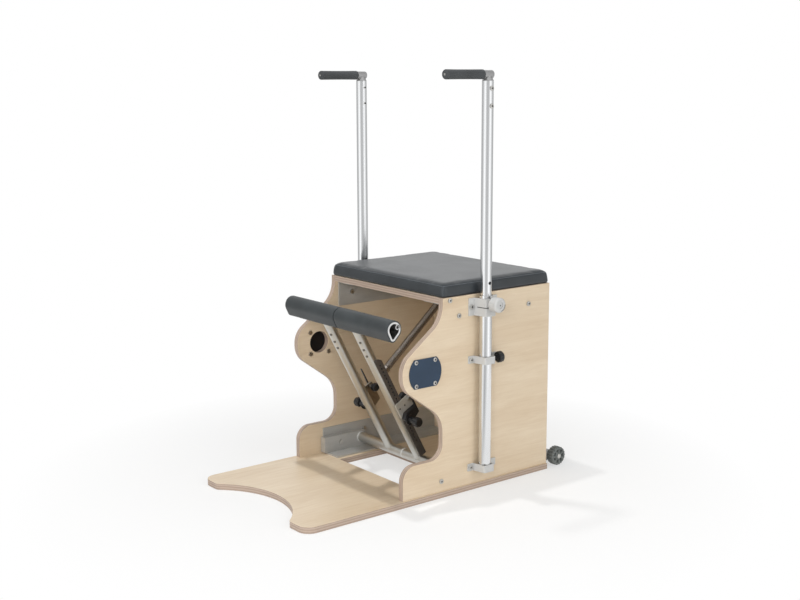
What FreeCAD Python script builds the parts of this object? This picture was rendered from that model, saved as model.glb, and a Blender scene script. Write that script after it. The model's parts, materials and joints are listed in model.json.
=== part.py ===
# Pilates chair: a plywood box with a padded seat, two sprung pedals and two telescoping handles.
# Millimetres. +Z is up, the pedals and the step face -Y, and the origin is on the floor
# under the middle of the footprint.
import FreeCAD, Part
import Sketcher
import math
import os
import re
from FreeCAD import Placement, Rotation, Vector

doc = FreeCAD.newDocument("PilatesChair")
sheet = doc.addObject("Spreadsheet::Sheet", "Sizes")

# Driving dimensions. Depths are measured forward from the rear face of the box,
# heights up from the floor, and "along" and "off" along a pedal arm and square to it.
SIZES = {
    # box
    "ply_thick": 18,
    "box_width": 557,
    "box_depth": 433,
    "panel_height": 600,
    "panel_reach": 582,
    "neck_height": 537,
    "nose_top_height": 427,
    "nose_low_height": 352,
    "waist_top_height": 244,
    "waist_low_height": 119,
    "neck_radius": 90,
    "nose_radius": 66,
    "waist_radius": 85,
    "toe_radius": 45,
    # base board
    "base_thick": 18,
    "base_length": 923,
    "base_overhang": 5,
    "tip_radius": 38,
    "tip_inner_radius": 20,
    "cut_half": 200,
    "cut_depth": 92,
    "opening_half": 163,
    "opening_front_depth": 492,
    "opening_rear_depth": 301,
    # nose hole and its cover plate
    "hole_depth": 499,
    "hole_height": 390,
    "hole_dia": 70,
    "plate_dia": 119,
    "plate_height": 86,
    "plate_thick": 3,
    "plate_screw_spread": 35,
    # seat cushion
    "cushion_height": 37,
    "cushion_wall_height": 26,
    "cushion_draw_in": 5,
    "cushion_corner_radius": 16,
    "cushion_foot_inset": 3,
    # steel angles
    "angle_leg": 82,
    "angle_thick": 5,
    "base_angle_front_depth": 491,
    "seat_angle_front_depth": 421,
    # pedal axle and its blocks
    "axle_depth": 353,
    "axle_height": 52,
    "axle_dia": 20,
    "axle_end_cover": 4,
    "block_proud": 10,
    "block_rear_depth": 337,
    "block_height": 50,
    "block_thick": 22,
    "washer_dia": 34,
    "centre_washer_thick": 5,
    "end_washer_thick": 3,
    # clearances and the overrun of cuts
    "running_gap": 0.05,
    "face_gap": 0.3,
    "overrun": 2,
    # spring anchor and springs
    "anchor_depth": 90,
    "anchor_height": 545,
    "anchor_dia": 16,
    "anchor_thread_length": 14,
    "spring_dia": 25,
    "spring_wire": 5,
    "spring_upper_reach": 44,
    "spring_lower_reach": 52,
    "spring_cap_length": 26,
    "spring_cap_wall": 1.5,
    "spring_side_off": 12.3,
    # pedal arms
    "arm_lean": 28.3,
    "arm_spread": 75,
    "arm_dia": 30,
    "arm_wall": 2.5,
    "sleeve_dia": 33,
    # foot bars: an aluminium core of teardrop section in a soft cover
    "bar_along": 534,
    "bar_off": 9,
    "bar_half_reach": 262,
    "bar_gap": 3,
    "bar_core_radius": 22,
    "bar_tip_reach": 30,
    "bar_tip_radius": 6,
    "bar_tip_turn": 38,
    "bar_core_wall": 5.5,
    "bar_cover_thick": 5,
    "bar_boss_dia": 14,
    "bar_boss_off": 14,
    "bar_screw_dia": 7,
    # perforated rails on the outer sides of the arms
    "rail_thick": 4.5,
    "rail_width": 24,
    "rail_front_off": 4,
    "rail_from": 18,
    "rail_to": 380,
    "rail_hole_dia": 6.6,
    "rail_hole_pitch": 12.8,
    "rail_hole_from": 74.7,
    # carriages on the rails
    "carriage_cheek": 3,
    "carriage_low": 141,
    "carriage_rear_low": 157,
    "carriage_step": 4,
    "carriage_flange_from": 176,
    "carriage_to": 228,
    "carriage_corner_radius": 7,
    "carriage_hook_length": 40,
    "carriage_lip": 5,
    "ear_reach": 11,
    "spring_pin_dia": 10,
    "spring_pin_along": 217,
    "spring_pin_off": 44.5,
    "spring_pin_head_dia": 16,
    "spring_pin_head_length": 9,
    "spring_knob_off": 5.2,
    "spring_knob_length": 17,
    "spring_knob_dia": 27,
    # black slide blocks outside the carriages, with an upright tail
    "clip_front_off": 8,
    "clip_nose_height": 174,
    "clip_foot_off": 3,
    "clip_foot_height": 147,
    "clip_rear_off": 50,
    "clip_rear_height": 165,
    "clip_top_height": 188.5,
    "clip_chamfer_off": 7,
    "clip_thick": 16,
    "clip_tail_thick": 6,
    "clip_tail_width": 6,
    "clip_tail_to": 278,
    "clip_tail_tip": 2,
    # indexing plungers through the blocks
    "plunger_flange_dia": 32,
    "plunger_flange_thick": 3,
    "plunger_dia": 18,
    "plunger_length": 20,
    "pull_pin_dia": 6,
    "knob_dia": 30,
    "knob_length": 22,
    "knob_neck_dia": 16,
    "knob_neck_length": 4,
    "knob_edge": 3,
    # handle poles
    "pole_depth": 288,
    "pole_stand_off": 25,
    "pole_dia": 34,
    "pole_wall": 2,
    "pole_foot_height": 300,
    "pole_top_height": 1218,
    "tube_dia": 38,
    "tube_wall": 1.6,
    "tube_foot_height": 64,
    "tube_top_height": 590,
    "collar_dia": 41,
    "collar_height": 8,
    "index_height": 575,
    "index_pitch": 60,
    "index_hole_dia": 10,
    "index_pin_dia": 9,
    # handle brackets, bent like a hat over the tube
    "bracket_wall": 4,
    "hat_base_half": 23.5,
    "hat_top_half": 16.3,
    "hat_edge_radius": 5,
    "flange_reach": 47,
    "rear_flange_reach": 64,
    "bracket_bolt_spread": 38,
    "top_bracket_low": 537,
    "top_bracket_tall": 52.5,
    "mid_bracket_low": 392.5,
    "mid_bracket_tall": 22,
    "foot_bracket_low": 60,
    "foot_bracket_tall": 22,
    # index knob and clamp knob
    "index_boss_dia": 22,
    "index_boss_length": 8,
    "index_knob_dia": 44,
    "index_knob_length": 31,
    "index_knob_gap": 2,
    "index_knob_rim": 4,
    "clamp_stud_dia": 8,
    "clamp_neck_length": 20,
    "clamp_knob_dia": 34,
    "clamp_knob_length": 18,
    "clamp_lobe_dia": 9,
    # elbow and grip
    "elbow_height": 32,
    "elbow_dome": 6,
    "elbow_spigot_length": 95,
    "grip_rise": 18,
    "grip_bar_dia": 18,
    "grip_dia": 28,
    "grip_start": 19,
    "grip_length": 143,
    "grip_end_wall": 4,
    "pole_screw_dia": 6,
    "pole_screw_top_drop": 21,
    "pole_screw_pitch": 50,
    "pole_screw_proud": 4,
    # transport wheels
    "wheel_dia": 60,
    "wheel_width": 26,
    "wheel_set_back": 52,
    "wheel_height": 31,
    "wheel_overhang": 5,
    "wheel_hub_dia": 26,
    "wheel_rim": 8,
    "wheel_web": 8,
    "wheel_groove": 5,
    "wheel_bolt_dia": 8,
    "wheel_bracket_thick": 5,
    "wheel_bracket_width": 40,
    "wheel_bracket_height": 50,
    "wheel_bracket_low": 12,
    "wheel_arm_width": 26,
    # bolts and screws
    "bolt_dia": 6,
    "bolt_head_dia": 14.5,
    "bolt_head_height": 3.5,
    "nut_dia": 14,
    "nut_height": 5,
    "screw_dia": 4.5,
    "screw_head_dia": 13,
    "screw_head_height": 2.5,
    "seat_bolt_depth": 406,
    "seat_bolt_height": 591,
    "front_bolt_depth": 371,
    "seat_angle_bolt_height": 542,
    "base_bolt_height": 50,
}
SPRING_CURLS = 30
INDEX_HOLES = 5
KNOB_LOBES = 6
# Holes of a rail below the one its carriage is pinned in
PINNED_HOLE_COUNT = 7
WHEEL_GROOVE_COUNT = 14
# Shares chosen by hand: the round-over of a bolt head, how far an axle block's bolt is from the
# axle to the block's front, and the heights and insets of the cushion's sections between its
# wall and its crown.
DOME_SHARE = 0.55
BLOCK_BOLT_SHARE = 0.57
CUSHION_RISE_SHARES = (0.45, 0.75, 0.93, 1.0)
CUSHION_INSET_SHARES = (0.03, 0.12, 0.30, 0.62)

for row, (alias, value) in enumerate(SIZES.items(), start=1):
    sheet.set(f"A{row}", alias)
    sheet.set(f"B{row}", str(value))
    sheet.setAlias(f"B{row}", alias)
doc.recompute()

WORD = re.compile(r"[a-z][a-z_]*")


def linked(expression):
    return WORD.sub(lambda w: "Sizes." + w.group() if w.group() in SIZES else w.group(), str(expression))


def num(expression):
    return float(sheet.evalExpression(str(expression)))


def bind(obj, **properties):
    for name, expression in properties.items():
        obj.setExpression(name, linked(expression))


# Places worked out from the driving dimensions
HALF = "(box_width / 2)"
INNER = "(box_width / 2 - ply_thick)"
REAR = "((base_length - wheel_set_back - wheel_dia / 2) / 2)"
FRONT = f"({REAR} - base_length)"
BOX_FRONT = f"({REAR} - box_depth)"
NOSE = f"({REAR} - panel_reach)"
POLE_X = f"({HALF} + pole_stand_off)"
POLE_Y = f"({REAR} - pole_depth)"
AXLE_Y = f"({REAR} - axle_depth)"
SEAT_UNDER = "(panel_height - ply_thick)"
HAT_TOP = "(pole_stand_off + tube_dia / 2 + face_gap)"
GRIP_Z = "(pole_top_height + grip_rise)"
# A pedal's outer side, measured out from its arm: the rail, the carriage's web and the block
RAIL_IN = "(arm_dia / 2 + face_gap / 3)"
RAIL_MID = "(rail_width / 2 - rail_front_off)"
RAIL_REAR = "(rail_width - rail_front_off)"
WEB_IN = f"({RAIL_IN} + rail_thick + face_gap)"
WEB_OUT = f"({WEB_IN} + carriage_cheek)"
CLIP_IN = f"({WEB_OUT} + face_gap / 3)"
CLIP_OUT = f"({CLIP_IN} + clip_thick)"
CARRIAGE_FRONT = "(rail_front_off + face_gap + carriage_cheek)"
EAR_REAR = "(spring_pin_off + ear_reach)"
PULL_ALONG = f"(rail_hole_from + {PINNED_HOLE_COUNT} * rail_hole_pitch)"
ALONG_X = Rotation(Vector(0, 1, 0), 90)
ALONG_MINUS_X = Rotation(Vector(0, 1, 0), -90)
ALONG_Y = Rotation(Vector(1, 0, 0), -90)
ALONG_MINUS_Y = Rotation(Vector(1, 0, 0), 90)
UPRIGHT = Rotation()
SIDES = {"left": -1, "right": 1}
nodes = []


def depth(expression):
    return f"({REAR} - ({expression}))"


# A point of a pedal, given along its arm and square to it, in the chair's Y and Z
def pedal_y(off, along):
    return f"({AXLE_Y} + ({off}) * cos(arm_lean) - ({along}) * sin(arm_lean))"


def pedal_z(off, along):
    return f"(axle_height + ({off}) * sin(arm_lean) + ({along}) * cos(arm_lean))"


def place(obj, x, y, z, turn=UPRIGHT):
    name = "LinkPlacement" if obj.TypeId == "App::Link" else "Placement"
    setattr(obj, name, Placement(Vector(num(x), num(y), num(z)), turn))
    bind(obj, **{f"{name}.Base.x": x, f"{name}.Base.y": y, f"{name}.Base.z": z})
    return obj


# A pedal's own frame: +Z along the arm, +Y square to it and back, origin on the axle
def place_on_pedal(obj, x):
    place(obj, x, AXLE_Y, "axle_height", Rotation(Vector(1, 0, 0), num("arm_lean")))
    obj.setExpression("Placement.Rotation.Angle", f"{linked('arm_lean')} * 1 deg")
    return obj


# The span in X of something on a pedal's outer side, from its distances out from the arm
def outside(sign, near, far):
    if sign > 0:
        return f"arm_spread + {near}", f"arm_spread + {far}"
    return f"0 - arm_spread - {far}", f"0 - arm_spread - {near}"


# A box square to a pedal's arm
def pedal_box(name, across, off, along):
    obj = doc.addObject("Part::Box", name)
    spans = [f"({high}) - ({low})" for low, high in (across, off, along)]
    bind(obj, Length=spans[0], Width=spans[1], Height=spans[2])
    place(obj, across[0], pedal_y(off[0], along[0]), pedal_z(off[0], along[0]),
          Rotation(Vector(1, 0, 0), num("arm_lean")))
    obj.setExpression("Placement.Rotation.Angle", f"{linked('arm_lean')} * 1 deg")
    return obj


def node(obj, label):
    obj.Label = label
    nodes.append(obj)
    return obj


def box(name, low, high):
    obj = doc.addObject("Part::Box", name)
    spans = [f"({b}) - ({a})" for a, b in zip(low, high)]
    bind(obj, Length=spans[0], Width=spans[1], Height=spans[2])
    return place(obj, *low)


def rod(name, dia, length, x, y, z, turn=UPRIGHT):
    obj = doc.addObject("Part::Cylinder", name)
    bind(obj, Radius=f"({dia}) / 2", Height=length)
    return place(obj, x, y, z, turn)


def fuse(name, pieces):
    obj = doc.addObject("Part::MultiFuse", name)
    obj.Shapes = pieces
    obj.Refine = True
    return obj


def cut(name, base, tools):
    obj = doc.addObject("Part::Cut", name)
    obj.Base = base
    obj.Tool = tools[0] if len(tools) == 1 else fuse(name + "_tools", tools)
    return obj


def group(label, pieces):
    obj = doc.addObject("Part::Compound", label)
    obj.Links = pieces
    return node(obj, label)


def copy_of(source, name):
    obj = doc.addObject("App::Link", name)
    obj.LinkedObject = source
    return obj


def new_body(name):
    return doc.addObject("PartDesign::Body", name)


def sketch_on(body, role):
    sketch = body.newObject("Sketcher::SketchObject", f"{body.Name}_{role}")
    plane = next(f for f in body.Origin.OriginFeatures if f.Role == role)
    sketch.AttachmentSupport = [(plane, "")]
    sketch.MapMode = "FlatFace"
    return sketch


def dimension(sketch, kind, spot, expression):
    index = sketch.addConstraint(Sketcher.Constraint(kind, *spot, num(expression)))
    sketch.setExpression(f"Constraints[{index}]", linked(expression))


# A closed outline. Each corner is (x, y), or (x, y, radius) where the side that leaves it
# is an arc bulging to the right of the way it goes.
def outline(sketch, corners):
    first = sketch.GeometryCount
    spots = [Vector(num(c[0]), num(c[1]), 0) for c in corners]
    count = len(corners)
    for i, corner in enumerate(corners):
        start, end = spots[i], spots[(i + 1) % count]
        if len(corner) == 2:
            sketch.addGeometry(Part.LineSegment(start, end))
            continue
        radius = num(corner[2])
        chord = end - start
        half = chord.Length / 2
        rise = radius - math.sqrt(max(radius * radius - half * half, 0))
        right = Vector(chord.y, -chord.x, 0).normalize()
        sketch.addGeometry(Part.Arc(start, start + chord * 0.5 + right * rise, end))
    for i, corner in enumerate(corners):
        here, after = first + i, first + (i + 1) % count
        ends = [end_points(sketch, g) for g in (here, after)]
        sketch.addConstraint(Sketcher.Constraint("Coincident", here, ends[0][1], after, ends[1][0]))
        dimension(sketch, "DistanceX", (-1, 1, here, ends[0][0]), corner[0])
        dimension(sketch, "DistanceY", (-1, 1, here, ends[0][0]), corner[1])
        if len(corner) == 3:
            dimension(sketch, "Radius", (here,), corner[2])


# Which end of a side comes first: a clockwise arc is stored the other way round
def end_points(sketch, index):
    curve = sketch.Geometry[index]
    clockwise = isinstance(curve, Part.ArcOfCircle) and sketch_arc_reversed(curve)
    return (2, 1) if clockwise else (1, 2)


def sketch_arc_reversed(curve):
    return curve.Axis.z < 0


def circle(sketch, x, y, dia):
    index = sketch.addGeometry(Part.Circle(Vector(num(x), num(y), 0), Vector(0, 0, 1), num(dia) / 2))
    dimension(sketch, "DistanceX", (-1, 1, index, 3), x)
    dimension(sketch, "DistanceY", (-1, 1, index, 3), y)
    dimension(sketch, "Diameter", (index,), dia)


def pad(body, sketch, length, middle=False, back=False):
    feature = body.newObject("PartDesign::Pad", f"{body.Name}_pad_{len(body.Group)}")
    feature.Profile = sketch
    feature.Midplane = middle
    feature.Reversed = back
    bind(feature, Length=length)
    doc.recompute()
    return feature


# A pocket to both sides of its sketch plane, which has to take some material away
def pocket(body, sketch, width):
    before = body.Shape.Volume
    feature = body.newObject("PartDesign::Pocket", f"{body.Name}_pocket_{len(body.Group)}")
    feature.Profile = sketch
    feature.Midplane = True
    bind(feature, Length=width)
    doc.recompute()
    if body.Shape.Volume >= before:
        raise RuntimeError(f"{feature.Name} cuts nothing")
    return feature


# Rounds the edges that run along one axis (0 X, 1 Y, 2 Z) through the given points
def round_corners(body, axis, spots, radius):
    feature = body.Tip
    others = [i for i in range(3) if i != axis]
    names = []
    for number, edge in enumerate(feature.Shape.Edges, start=1):
        ends = [v.Point for v in edge.Vertexes]
        if len(ends) != 2 or any(abs(ends[0][i] - ends[1][i]) > num("running_gap") for i in others):
            continue
        for spot in spots:
            if all(abs(ends[0][i] - num(s)) < num("running_gap") for i, s in zip(others, spot)):
                names.append(f"Edge{number}")
    fillet = body.newObject("PartDesign::Fillet", f"{body.Name}_round_{len(body.Group)}")
    fillet.Base = (feature, names)
    bind(fillet, Radius=radius)
    doc.recompute()
    return fillet


# A turned piece: corners of its half section as (radius, distance along the axis)
def turned(name, corners):
    body = new_body(name)
    sketch = sketch_on(body, "XZ_Plane")
    outline(sketch, corners)
    feature = body.newObject("PartDesign::Revolution", f"{name}_turn")
    feature.Profile = sketch
    feature.ReferenceAxis = (sketch, ["V_Axis"])
    feature.Angle = 360
    doc.recompute()
    return body


def tube(name, outer, inner, low, high):
    ring = [(f"({inner}) / 2", low), (f"({outer}) / 2", low)]
    ring += [(f"({outer}) / 2", high), (f"({inner}) / 2", high)]
    return turned(name, ring)


# Bolt with its axis along +Z: the head's seat is at zero, and a nut may close the far end
def bolt(name, dia, head_dia, head_height, through, nut=True):
    shank, head = f"({dia}) / 2", f"({head_dia}) / 2"
    end = f"(0 - ({through}))"
    corners = [(0, end), (shank, end)]
    if nut:
        tail = f"({end} - nut_height)"
        corners = [(0, tail), ("nut_dia / 2", tail), ("nut_dia / 2", end), (shank, end)]
    corners += [(shank, 0), (head, 0), (head, f"{head_height} * {1 - DOME_SHARE}")]
    corners += [(f"{head} * {DOME_SHARE}", head_height), (0, head_height)]
    return turned(name, corners)


# Base board
base = new_body("base_board")
base_sketch = sketch_on(base, "XY_Plane")
base_half = f"({HALF} + base_overhang)"
cut_radius = "((cut_half * cut_half + cut_depth * cut_depth) / (2 * cut_depth))"
outline(base_sketch, [
    (base_half, REAR), (base_half, FRONT), ("cut_half", FRONT, cut_radius), ("0 - cut_half", FRONT),
    (f"0 - {base_half}", FRONT), (f"0 - {base_half}", REAR)])
outline(base_sketch, [
    ("0 - opening_half", depth("opening_front_depth")), ("opening_half", depth("opening_front_depth")),
    ("opening_half", depth("opening_rear_depth")), ("0 - opening_half", depth("opening_rear_depth"))])
pad(base, base_sketch, "base_thick")
round_corners(base, 2, [(f"0 - {base_half}", FRONT), (base_half, FRONT)], "tip_radius")
round_corners(base, 2, [("0 - cut_half", FRONT), ("cut_half", FRONT)], "tip_inner_radius")
node(base, "base_board")

# Where bolts go through a side panel, as (depth, height)
ANGLE_BOLT = ("front_bolt_depth", "seat_angle_bolt_height")
ANCHOR_BOLT = ("anchor_depth", "anchor_height")
BLOCK_FRONT = "(base_angle_front_depth + block_proud)"
BLOCK_BOLT = (f"(axle_depth + {BLOCK_BOLT_SHARE} * ({BLOCK_FRONT} - axle_depth))", "base_bolt_height")
SEAT_SCREW = ("seat_bolt_depth", "seat_bolt_height")
FRAME_BOLTS = [ANGLE_BOLT, ANCHOR_BOLT, BLOCK_BOLT, SEAT_SCREW]
BRACKETS = {"top": ("top_bracket_low", "top_bracket_tall"), "mid": ("mid_bracket_low", "mid_bracket_tall"),
            "foot": ("foot_bracket_low", "foot_bracket_tall")}


def bracket_bolts(kind):
    low, tall = BRACKETS[kind]
    return [(f"pole_depth {sign} bracket_bolt_spread", f"{low} + {tall} / 2") for sign in "+-"]


PLATE_SCREWS = [(f"hole_depth {a} plate_screw_spread", f"hole_height {b} plate_screw_spread")
                for a in "+-" for b in "+-"]
SEAT_ANGLE_BOLTS = [ANGLE_BOLT, ANCHOR_BOLT] + bracket_bolts("top")
BASE_ANGLE_BOLTS = [BLOCK_BOLT] + bracket_bolts("foot")
BOLT_HOLE = "(bolt_dia + 2 * face_gap)"

# Side panels: a flat front edge, a forward nose, a drawn-in waist and a toe on the base
for side, sign in SIDES.items():
    panel = new_body(f"{side}_side_panel")
    sketch = sketch_on(panel, "YZ_Plane")
    outline(sketch, [
        (REAR, "base_thick"), (REAR, "panel_height"), (BOX_FRONT, "panel_height"), (BOX_FRONT, "neck_height"),
        (NOSE, "nose_top_height"), (NOSE, "nose_low_height"), (BOX_FRONT, "waist_top_height"),
        (BOX_FRONT, "waist_low_height"), (NOSE, "waist_low_height"), (NOSE, "base_thick")])
    circle(sketch, depth("hole_depth"), "hole_height", "hole_dia")
    for back, height in PLATE_SCREWS:
        circle(sketch, depth(back), height, "screw_dia + 2 * face_gap")
    for back, height in FRAME_BOLTS + sum((bracket_bolts(k) for k in BRACKETS), []):
        circle(sketch, depth(back), height, BOLT_HOLE)
    pad(panel, sketch, "ply_thick")
    round_corners(panel, 0, [(BOX_FRONT, "neck_height")], "neck_radius")
    round_corners(panel, 0, [(NOSE, "nose_top_height"), (NOSE, "nose_low_height")], "nose_radius")
    round_corners(panel, 0, [(BOX_FRONT, "waist_top_height")], "waist_radius")
    round_corners(panel, 0, [(BOX_FRONT, "waist_low_height"), (NOSE, "waist_low_height")], "toe_radius")
    place(panel, INNER if sign > 0 else f"0 - {HALF}", 0, 0)
    node(panel, f"{side}_side_panel")

# Seat board and back panel between the side panels
node(box("seat_board", (f"0 - {INNER}", BOX_FRONT, SEAT_UNDER), (INNER, REAR, "panel_height")), "seat_board")
node(box("back_panel", (f"0 - {INNER}", f"{REAR} - ply_thick", "base_thick"), (INNER, REAR, SEAT_UNDER)),
     "back_panel")


# Seat cushion: sides drawn in between the corners, and a crown built up in steps above the wall
def cushion_section(inset, height):
    half_x, half_y = num(HALF) - inset, num("box_depth") / 2 - inset
    middle_y = num(BOX_FRONT) + num("box_depth") / 2
    radius, draw = num("cushion_corner_radius"), num("cushion_draw_in")
    corner_turn = math.cos(math.radians(45))
    edges = []
    # Each quarter has the middle of a side, the corner's arc and the middle of the next side
    for turn in range(4):
        long, wide = (half_x, half_y) if turn % 2 == 0 else (half_y, half_x)
        spin = Rotation(Vector(0, 0, 1), 90 * turn)
        at = [Vector(long - radius, -wide),
              Vector(long - radius * (1 - corner_turn), -wide + radius * (1 - corner_turn)),
              Vector(long, radius - wide), Vector(long - draw, 0), Vector(long, wide - radius)]
        at = [spin.multVec(p) + Vector(0, middle_y, height) for p in at]
        edges.append(Part.Arc(at[0], at[1], at[2]).toShape())
        edges.append(Part.Arc(at[2], at[3], at[4]).toShape())
    return Part.Wire(edges)


def cushion_shape():
    seat, wall, top = num("panel_height"), num("cushion_wall_height"), num("cushion_height")
    rise = top - wall
    half = num("box_depth") / 2
    lift = num("face_gap") / 3
    sections = [cushion_section(num("cushion_foot_inset"), seat + lift), cushion_section(0, seat + wall / 2),
                cushion_section(0, seat + wall)]
    for up, inset in zip(CUSHION_RISE_SHARES, CUSHION_INSET_SHARES):
        sections.append(cushion_section(half * inset, seat + wall + rise * up))
    return Part.makeLoft(sections, True, True)


cushion = doc.addObject("Part::Feature", "seat_cushion")
cushion.Shape = cushion_shape()
node(cushion, "seat_cushion")


# Equal-leg steel angles: one along each side on the base, one under the seat
def steel_angle(label, sign, front_depth, height, up, bolts):
    body = new_body(label)
    sketch = sketch_on(body, "XZ_Plane")
    leg, thick = f"{-sign} * angle_leg", f"{-sign} * angle_thick"
    outline(sketch, [
        (0, 0), (leg, 0), (leg, f"{up} * angle_thick"), (thick, f"{up} * angle_thick"),
        (thick, f"{up} * angle_leg"), (0, f"{up} * angle_leg")])
    pad(body, sketch, f"{front_depth} - ply_thick", back=True)
    holes = sketch_on(body, "YZ_Plane")
    for back, level in bolts:
        circle(holes, f"{front_depth} - ({back})", f"{level} - ({height})", BOLT_HOLE)
    pocket(body, holes, "2 * angle_thick + 2 * overrun")
    return place(body, f"{sign} * {INNER}", depth(front_depth), height)


group("base_angles", [
    steel_angle(f"{side}_base_angle", sign, "base_angle_front_depth", "base_thick", 1, BASE_ANGLE_BOLTS)
    for side, sign in SIDES.items()])
group("seat_angles", [
    steel_angle(f"{side}_seat_angle", sign, "seat_angle_front_depth", SEAT_UNDER, -1, SEAT_ANGLE_BOLTS)
    for side, sign in SIDES.items()])

# Axle blocks on the base angles, the axle rod and its nylon washers
BLOCK_OUT = f"({INNER} - angle_thick)"
BLOCK_IN = f"({BLOCK_OUT} - block_thick)"
AXLE_END = f"({BLOCK_OUT} - axle_end_cover)"
axle_blocks = []
for side, sign in SIDES.items():
    low, high = (BLOCK_IN, BLOCK_OUT) if sign > 0 else (f"0 - {BLOCK_OUT}", f"0 - {BLOCK_IN}")
    foot = "base_thick + angle_thick"
    blank = box(f"{side}_block_blank", (low, depth(BLOCK_FRONT), foot),
                (high, depth("block_rear_depth"), f"{foot} + block_height"))
    hole_from = f"{BLOCK_IN} - overrun" if sign > 0 else f"0 - {AXLE_END}"
    hole = rod(f"{side}_block_bore", "axle_dia + 2 * running_gap", f"{AXLE_END} - {BLOCK_IN} + overrun",
               hole_from, AXLE_Y, "axle_height", ALONG_X)
    bolt_hole = rod(f"{side}_block_bolt_hole", BOLT_HOLE, "block_thick + 2 * overrun", f"{low} - overrun",
                    depth(BLOCK_BOLT[0]), BLOCK_BOLT[1], ALONG_X)
    axle_blocks.append(cut(f"{side}_axle_block", blank, [hole, bolt_hole]))
group("axle_blocks", axle_blocks)
node(rod("pedal_axle", "axle_dia", f"2 * {AXLE_END}", f"0 - {AXLE_END}", AXLE_Y, "axle_height", ALONG_X),
     "pedal_axle")


def washer(name, thick, x):
    ring = tube(name, "washer_dia", "axle_dia + 2 * running_gap", 0, thick)
    return place(ring, x, AXLE_Y, "axle_height", ALONG_X)


group("axle_washers", [
    washer("centre_washer", "centre_washer_thick", "0 - centre_washer_thick / 2"),
    washer("left_end_washer", "end_washer_thick", f"0 - {BLOCK_IN}"),
    washer("right_end_washer", "end_washer_thick", f"{BLOCK_IN} - end_washer_thick")])

# Spring anchor bar between the seat angles, bored at both ends for the bolts that hold it
ANCHOR_HALF = f"({INNER} - angle_thick)"
anchor_rod = rod("anchor_rod", "anchor_dia", f"2 * {ANCHOR_HALF}", f"0 - {ANCHOR_HALF}",
                 depth("anchor_depth"),
                 "anchor_height", ALONG_X)
anchor_bores = [
    rod(f"{side}_anchor_bore", "bolt_dia + 2 * running_gap", "anchor_thread_length + overrun",
        f"{ANCHOR_HALF} - anchor_thread_length" if sign > 0 else f"0 - {ANCHOR_HALF} - overrun",
        depth("anchor_depth"), "anchor_height", ALONG_X)
    for side, sign in SIDES.items()]
node(cut("spring_anchor_bar", anchor_rod, anchor_bores), "spring_anchor_bar")

# Cover plates over the nose holes: a disc cut straight at the top and the bottom
plates, plate_screws = [], []
plate_flat = "sqrt(plate_dia * plate_dia - plate_height * plate_height) / 2"
screw_source = bolt("plate_screw", "screw_dia", "screw_head_dia", "screw_head_height",
                    "plate_thick + ply_thick")
for side, sign in SIDES.items():
    plate = new_body(f"{side}_cover_plate")
    sketch = sketch_on(plate, "YZ_Plane")
    outline(sketch, [
        (f"0 - {plate_flat}", "0 - plate_height / 2"), (plate_flat, "0 - plate_height / 2", "plate_dia / 2"),
        (plate_flat, "plate_height / 2"), (f"0 - {plate_flat}", "plate_height / 2", "plate_dia / 2")])
    for a in "+-":
        for b in "+-":
            circle(sketch, f"0 {a} plate_screw_spread", f"0 {b} plate_screw_spread",
                   "screw_dia + 2 * face_gap")
    pad(plate, sketch, "plate_thick")
    place(plate, HALF if sign > 0 else f"0 - {HALF} - plate_thick", depth("hole_depth"), "hole_height")
    plates.append(plate)
    for number, (back, height) in enumerate(PLATE_SCREWS):
        screw = copy_of(screw_source, f"{side}_plate_screw_{number}")
        place(screw, f"{sign} * ({HALF} + plate_thick)", depth(back), height,
              ALONG_X if sign > 0 else ALONG_MINUS_X)
        plate_screws.append(screw)
group("cover_plates", plates)
group("cover_plate_screws", plate_screws)


# Bolts of the frame and of the handle brackets, copied from one bolt of each length
def bolt_row(source, name, spots, sign, seat):
    row = []
    for number, (back, height) in enumerate(spots):
        piece = copy_of(source, f"{name}_{number}")
        place(piece, f"{sign} * ({HALF} + {seat})", depth(back), height,
              ALONG_X if sign > 0 else ALONG_MINUS_X)
        row.append(piece)
    return row


def standard_bolt(name, through, nut=True):
    return bolt(name, "bolt_dia", "bolt_head_dia", "bolt_head_height", through, nut)


angle_bolt = standard_bolt("angle_bolt", "ply_thick + angle_thick")
anchor_bolt = standard_bolt("anchor_bolt", "ply_thick + angle_thick + anchor_thread_length - overrun",
                            nut=False)
block_bolt = standard_bolt("block_bolt", "ply_thick + angle_thick + block_thick")
seat_screw = standard_bolt("seat_screw", "ply_thick", nut=False)
bracket_angle_bolt = standard_bolt("bracket_angle_bolt", "bracket_wall + ply_thick + angle_thick")
bracket_ply_bolt = standard_bolt("bracket_ply_bolt", "bracket_wall + ply_thick")
frame_bolts, handle_bolts = [], []
for side, sign in SIDES.items():
    for source, spot in zip((angle_bolt, anchor_bolt, block_bolt, seat_screw), FRAME_BOLTS):
        frame_bolts += bolt_row(source, f"{side}_{source.Name}", [spot], sign, 0)
    for kind in BRACKETS:
        source = bracket_ply_bolt if kind == "mid" else bracket_angle_bolt
        handle_bolts += bolt_row(source, f"{side}_{kind}_bolt", bracket_bolts(kind), sign, "bracket_wall")
group("frame_bolts", frame_bolts)
group("bracket_bolts", handle_bolts)


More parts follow.
